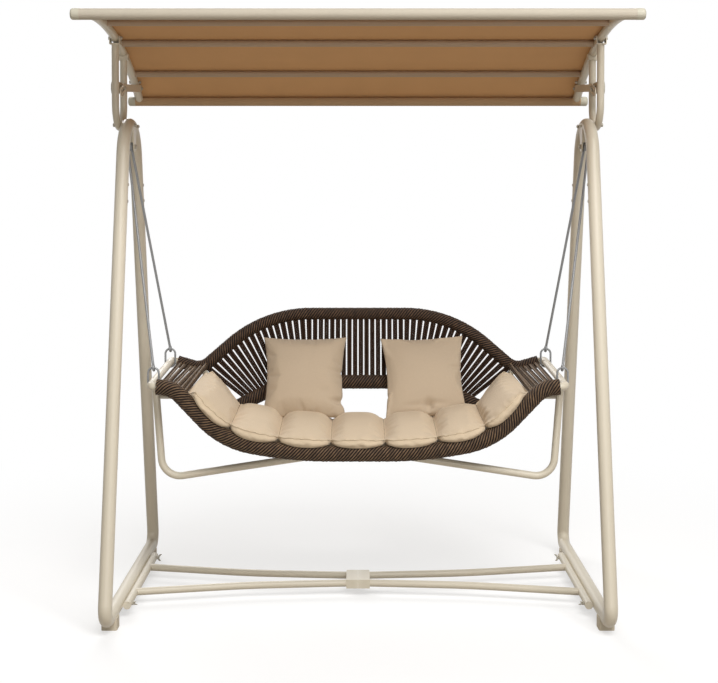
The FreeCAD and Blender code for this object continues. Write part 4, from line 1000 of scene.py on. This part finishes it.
# %% Pillows
pillow("left_scatter_pillow", "left_pillow", shift=-0.006, turn=0.0, narrow=0.01,
       dents=[(0.88, 0.10, 0.13, 0.035, 0.013), (0.86, -0.60, 0.16, 0.06, 0.018),
              (0.55, -0.42, 0.25, 0.10, 0.005), (-0.3, -0.9, 0.3, 0.12, 0.008)],
       pinches=[(0.10, 0.05, 0.035), (-0.60, 0.09, 0.06)])
pillow("right_scatter_pillow", "right_pillow", shift=0.011, turn=math.radians(-2.3), narrow=0.03,
       dents=[(0.84, 0.18, 0.16, 0.04, 0.008), (0.06, -0.72, 0.10, 0.12, 0.022),
              (0.25, -0.70, 0.30, 0.06, 0.006), (-0.3, -0.72, 0.25, 0.05, 0.005)],
       pinches=[(0.18, 0.06, 0.02)])

# %% [markdown]
# ## Canopy cloth
# One cloth is stretched over the curved rails from bar to bar, with a sewn pocket at each bar and a
# folded hem at each side. It is built as its own cross-section, drawn once round the front pocket,
# over the arc and round the rear pocket, and repeated across the width with a slight sag between the
# crossbars. The outside has the cloth's pale colour; the inside gets a warm brown that is painted shade
# and painted light through the cloth, and the rear pocket a painted shade between the two.

# %% Canopy section
arc_centre = np.array((-438.0, 196.0))
cloth_radius, bar_radius, crossbar_radius, pocket_radius = 2025.3, 2005.2, 2008.0, 19.3
pocket_turn, pocket_steps, lap, steps_over, ease_steps = math.radians(300), 22, 0.7, 90, 4
bar_angles = [math.asin((y - arc_centre[0]) / bar_radius) for y in (-662.0, 500.0)]
crossbar_angles = [math.asin((y - arc_centre[0]) / crossbar_radius) for y in (-320.0, -10.0, 295.0)]
stops = [bar_angles[0]] + crossbar_angles + [bar_angles[1]]


def polar(angle, radius):
    """Section point (y, z) at an angle from upright about the arc's centre."""
    return arc_centre + radius * np.array((math.sin(angle), math.cos(angle)))


def pocket(angle, turn):
    """Section points round a bar, from the top of it, turning away from the cloth and back under."""
    up = polar(angle, 1.0) - arc_centre
    out = np.array((-up[1], up[0])) * turn
    points = []
    for k in range(pocket_steps + 1):
        a = pocket_turn * k / pocket_steps
        reach = pocket_radius + lap * k / pocket_steps
        points.append(polar(angle, bar_radius) + (up * math.cos(a) + out * math.sin(a)) * reach)
    return points


def sag_at(angle):
    """How far the cloth dips between two crossbars, from 0 at a bar to 1 midway."""
    for low, high in zip(stops, stops[1:]):
        if low <= angle <= high:
            return math.sin(math.pi * (angle - low) / (high - low))
    return 0.0


section = [(p, 0.0, 0.0) for p in reversed(pocket(bar_angles[0], 1))]
for k in range(1, steps_over):
    angle = bar_angles[0] + (bar_angles[1] - bar_angles[0]) * k / steps_over
    ease = min(1.0, k / ease_steps, (steps_over - k) / ease_steps)
    radius = bar_radius + pocket_radius + (cloth_radius - bar_radius - pocket_radius) * ease
    section.append((polar(angle, radius), sag_at(angle), angle))
section += [(p, 0.0, 0.0) for p in pocket(bar_angles[1], -1)]

# %% Canopy mesh
cloth_half, cloth_thick, hem_width, hem_fold = 0.958, 0.0012, 0.022, 0.0012
sag_depth, sag_half, droop_depth, droop_start, droop_width = 3.2, 0.93, 3.0, 0.934, 0.020
edge_places = np.array([0, 0.003, 0.010, 0.018, 0.0215, 0.023, 0.04, 0.07, 0.12])
inner_places = np.linspace(-0.80, 0.80, 41)
across = np.concatenate([-cloth_half + edge_places, inner_places, (cloth_half - edge_places)[::-1]])
cloth_verts, cloth_faces = [], []
rows, wide = len(section), len(across)
layer = rows * wide


def cloth_spot(n, x, depth):
    """Point of the cloth at a section step and a place across, at a depth under its outside."""
    point, sag, angle = section[n]
    ahead = unit(section[min(n + 1, rows - 1)][0] - section[max(n - 1, 0)][0])
    middle = max(0.0, 1 - (x / sag_half) ** 2)
    droop = droop_depth * max(0.0, (abs(x) - droop_start) / droop_width) ** 1.5 if angle else 0.0
    spot = point - np.array((-ahead[1], ahead[0])) * (sag_depth * sag * middle + droop + depth / mm)
    return place(x / mm, spot[0], spot[1])


for side in (0, 1):
    for n in range(rows):
        for x in across:
            thick = cloth_thick + (hem_fold if cloth_half - abs(x) < hem_width else 0.0)
            cloth_verts.append(tuple(cloth_spot(n, x, side * thick)))
for n in range(rows - 1):
    for i in range(wide - 1):
        a, b = n * wide + i, (n + 1) * wide + i
        cloth_faces.append((a, a + 1, b + 1, b))
        cloth_faces.append((a + layer, b + layer, b + 1 + layer, a + 1 + layer))
for n in range(rows - 1):
    for i in (0, wide - 1):
        a, b = n * wide + i, (n + 1) * wide + i
        cloth_faces.append((a, b, b + layer, a + layer))
for i in range(wide - 1):
    for n in (0, rows - 1):
        a = n * wide + i
        cloth_faces.append((a, a + 1, a + 1 + layer, a + layer))
canopy = add_piece("canopy_cloth", cloth_verts, cloth_faces, canopy_top_cloth)
canopy.data.materials.append(canopy_inside_painted_shade)
canopy.data.materials.append(canopy_rear_painted_shade)
# inside faces and the rear pocket get the painted shade finishes; the outside keeps the cloth's colour
row_faces = (wide - 1) * 2
for index in range((rows - 1) * row_faces):
    on_rear_pocket = index >= (rows - 1 - pocket_steps) * row_faces
    canopy.data.polygons[index].material_index = 2 if on_rear_pocket else index % 2
face_out(canopy)
print("canopy cloth points", len(canopy.data.vertices))

# %% Canopy stitching
stitch_length, stitch_gap, stitch_width, stitch_lift = 0.005, 0.002, 0.0012, 0.0005


def stitch_rows(name, lines, material):
    """Short raised dashes of thread along lines that lie on the cloth."""
    verts, faces = [], []
    for points in lines:
        points = np.array(points)
        run = run_of(points)
        for k in range(int(run[-1] / (stitch_length + stitch_gap))):
            first = k * (stitch_length + stitch_gap)
            a, b = points_at(points, run, (first, first + stitch_length))
            along = unit(b - a)
            side = unit(np.cross(along, (0, 0, 1.0))) * stitch_width / 2
            rise = unit(np.cross(side, along)) * stitch_lift
            faces += tube_faces(len(verts), 2, 4)
            for end in (a, b):
                verts += [end + side - rise, end - side - rise, end - side + rise, end + side + rise]
    return add_piece(name, verts, faces, material, smooth=False)


first_row = pocket_steps + 2
over = range(first_row, rows - first_row)
thread_lines = [[cloth_spot(n, side * (cloth_half - inset), 0.0) for n in over]
                for side in (-1, 1) for inset in (0.018, 0.0205)]
for n in (over[1], over[-2]):
    thread_lines.append([cloth_spot(n, x, 0.0) for x in across[3:-3]])
stitching = stitch_rows("canopy_stitching", thread_lines, canopy_top_cloth)
for piece in (canopy, stitching):
    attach(piece, "canopy")
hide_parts("canopy_fabric")
print("stitches", len(stitching.data.vertices) // 8)

# %% [markdown]
# ## Size
# The box of the dressed swing is measured over all shown pieces and printed. The
# dressed swing has to stay inside the CAD model's box.

# %% Finish
low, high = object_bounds()
print("visual box", [round(v, 3) for v in high - low])
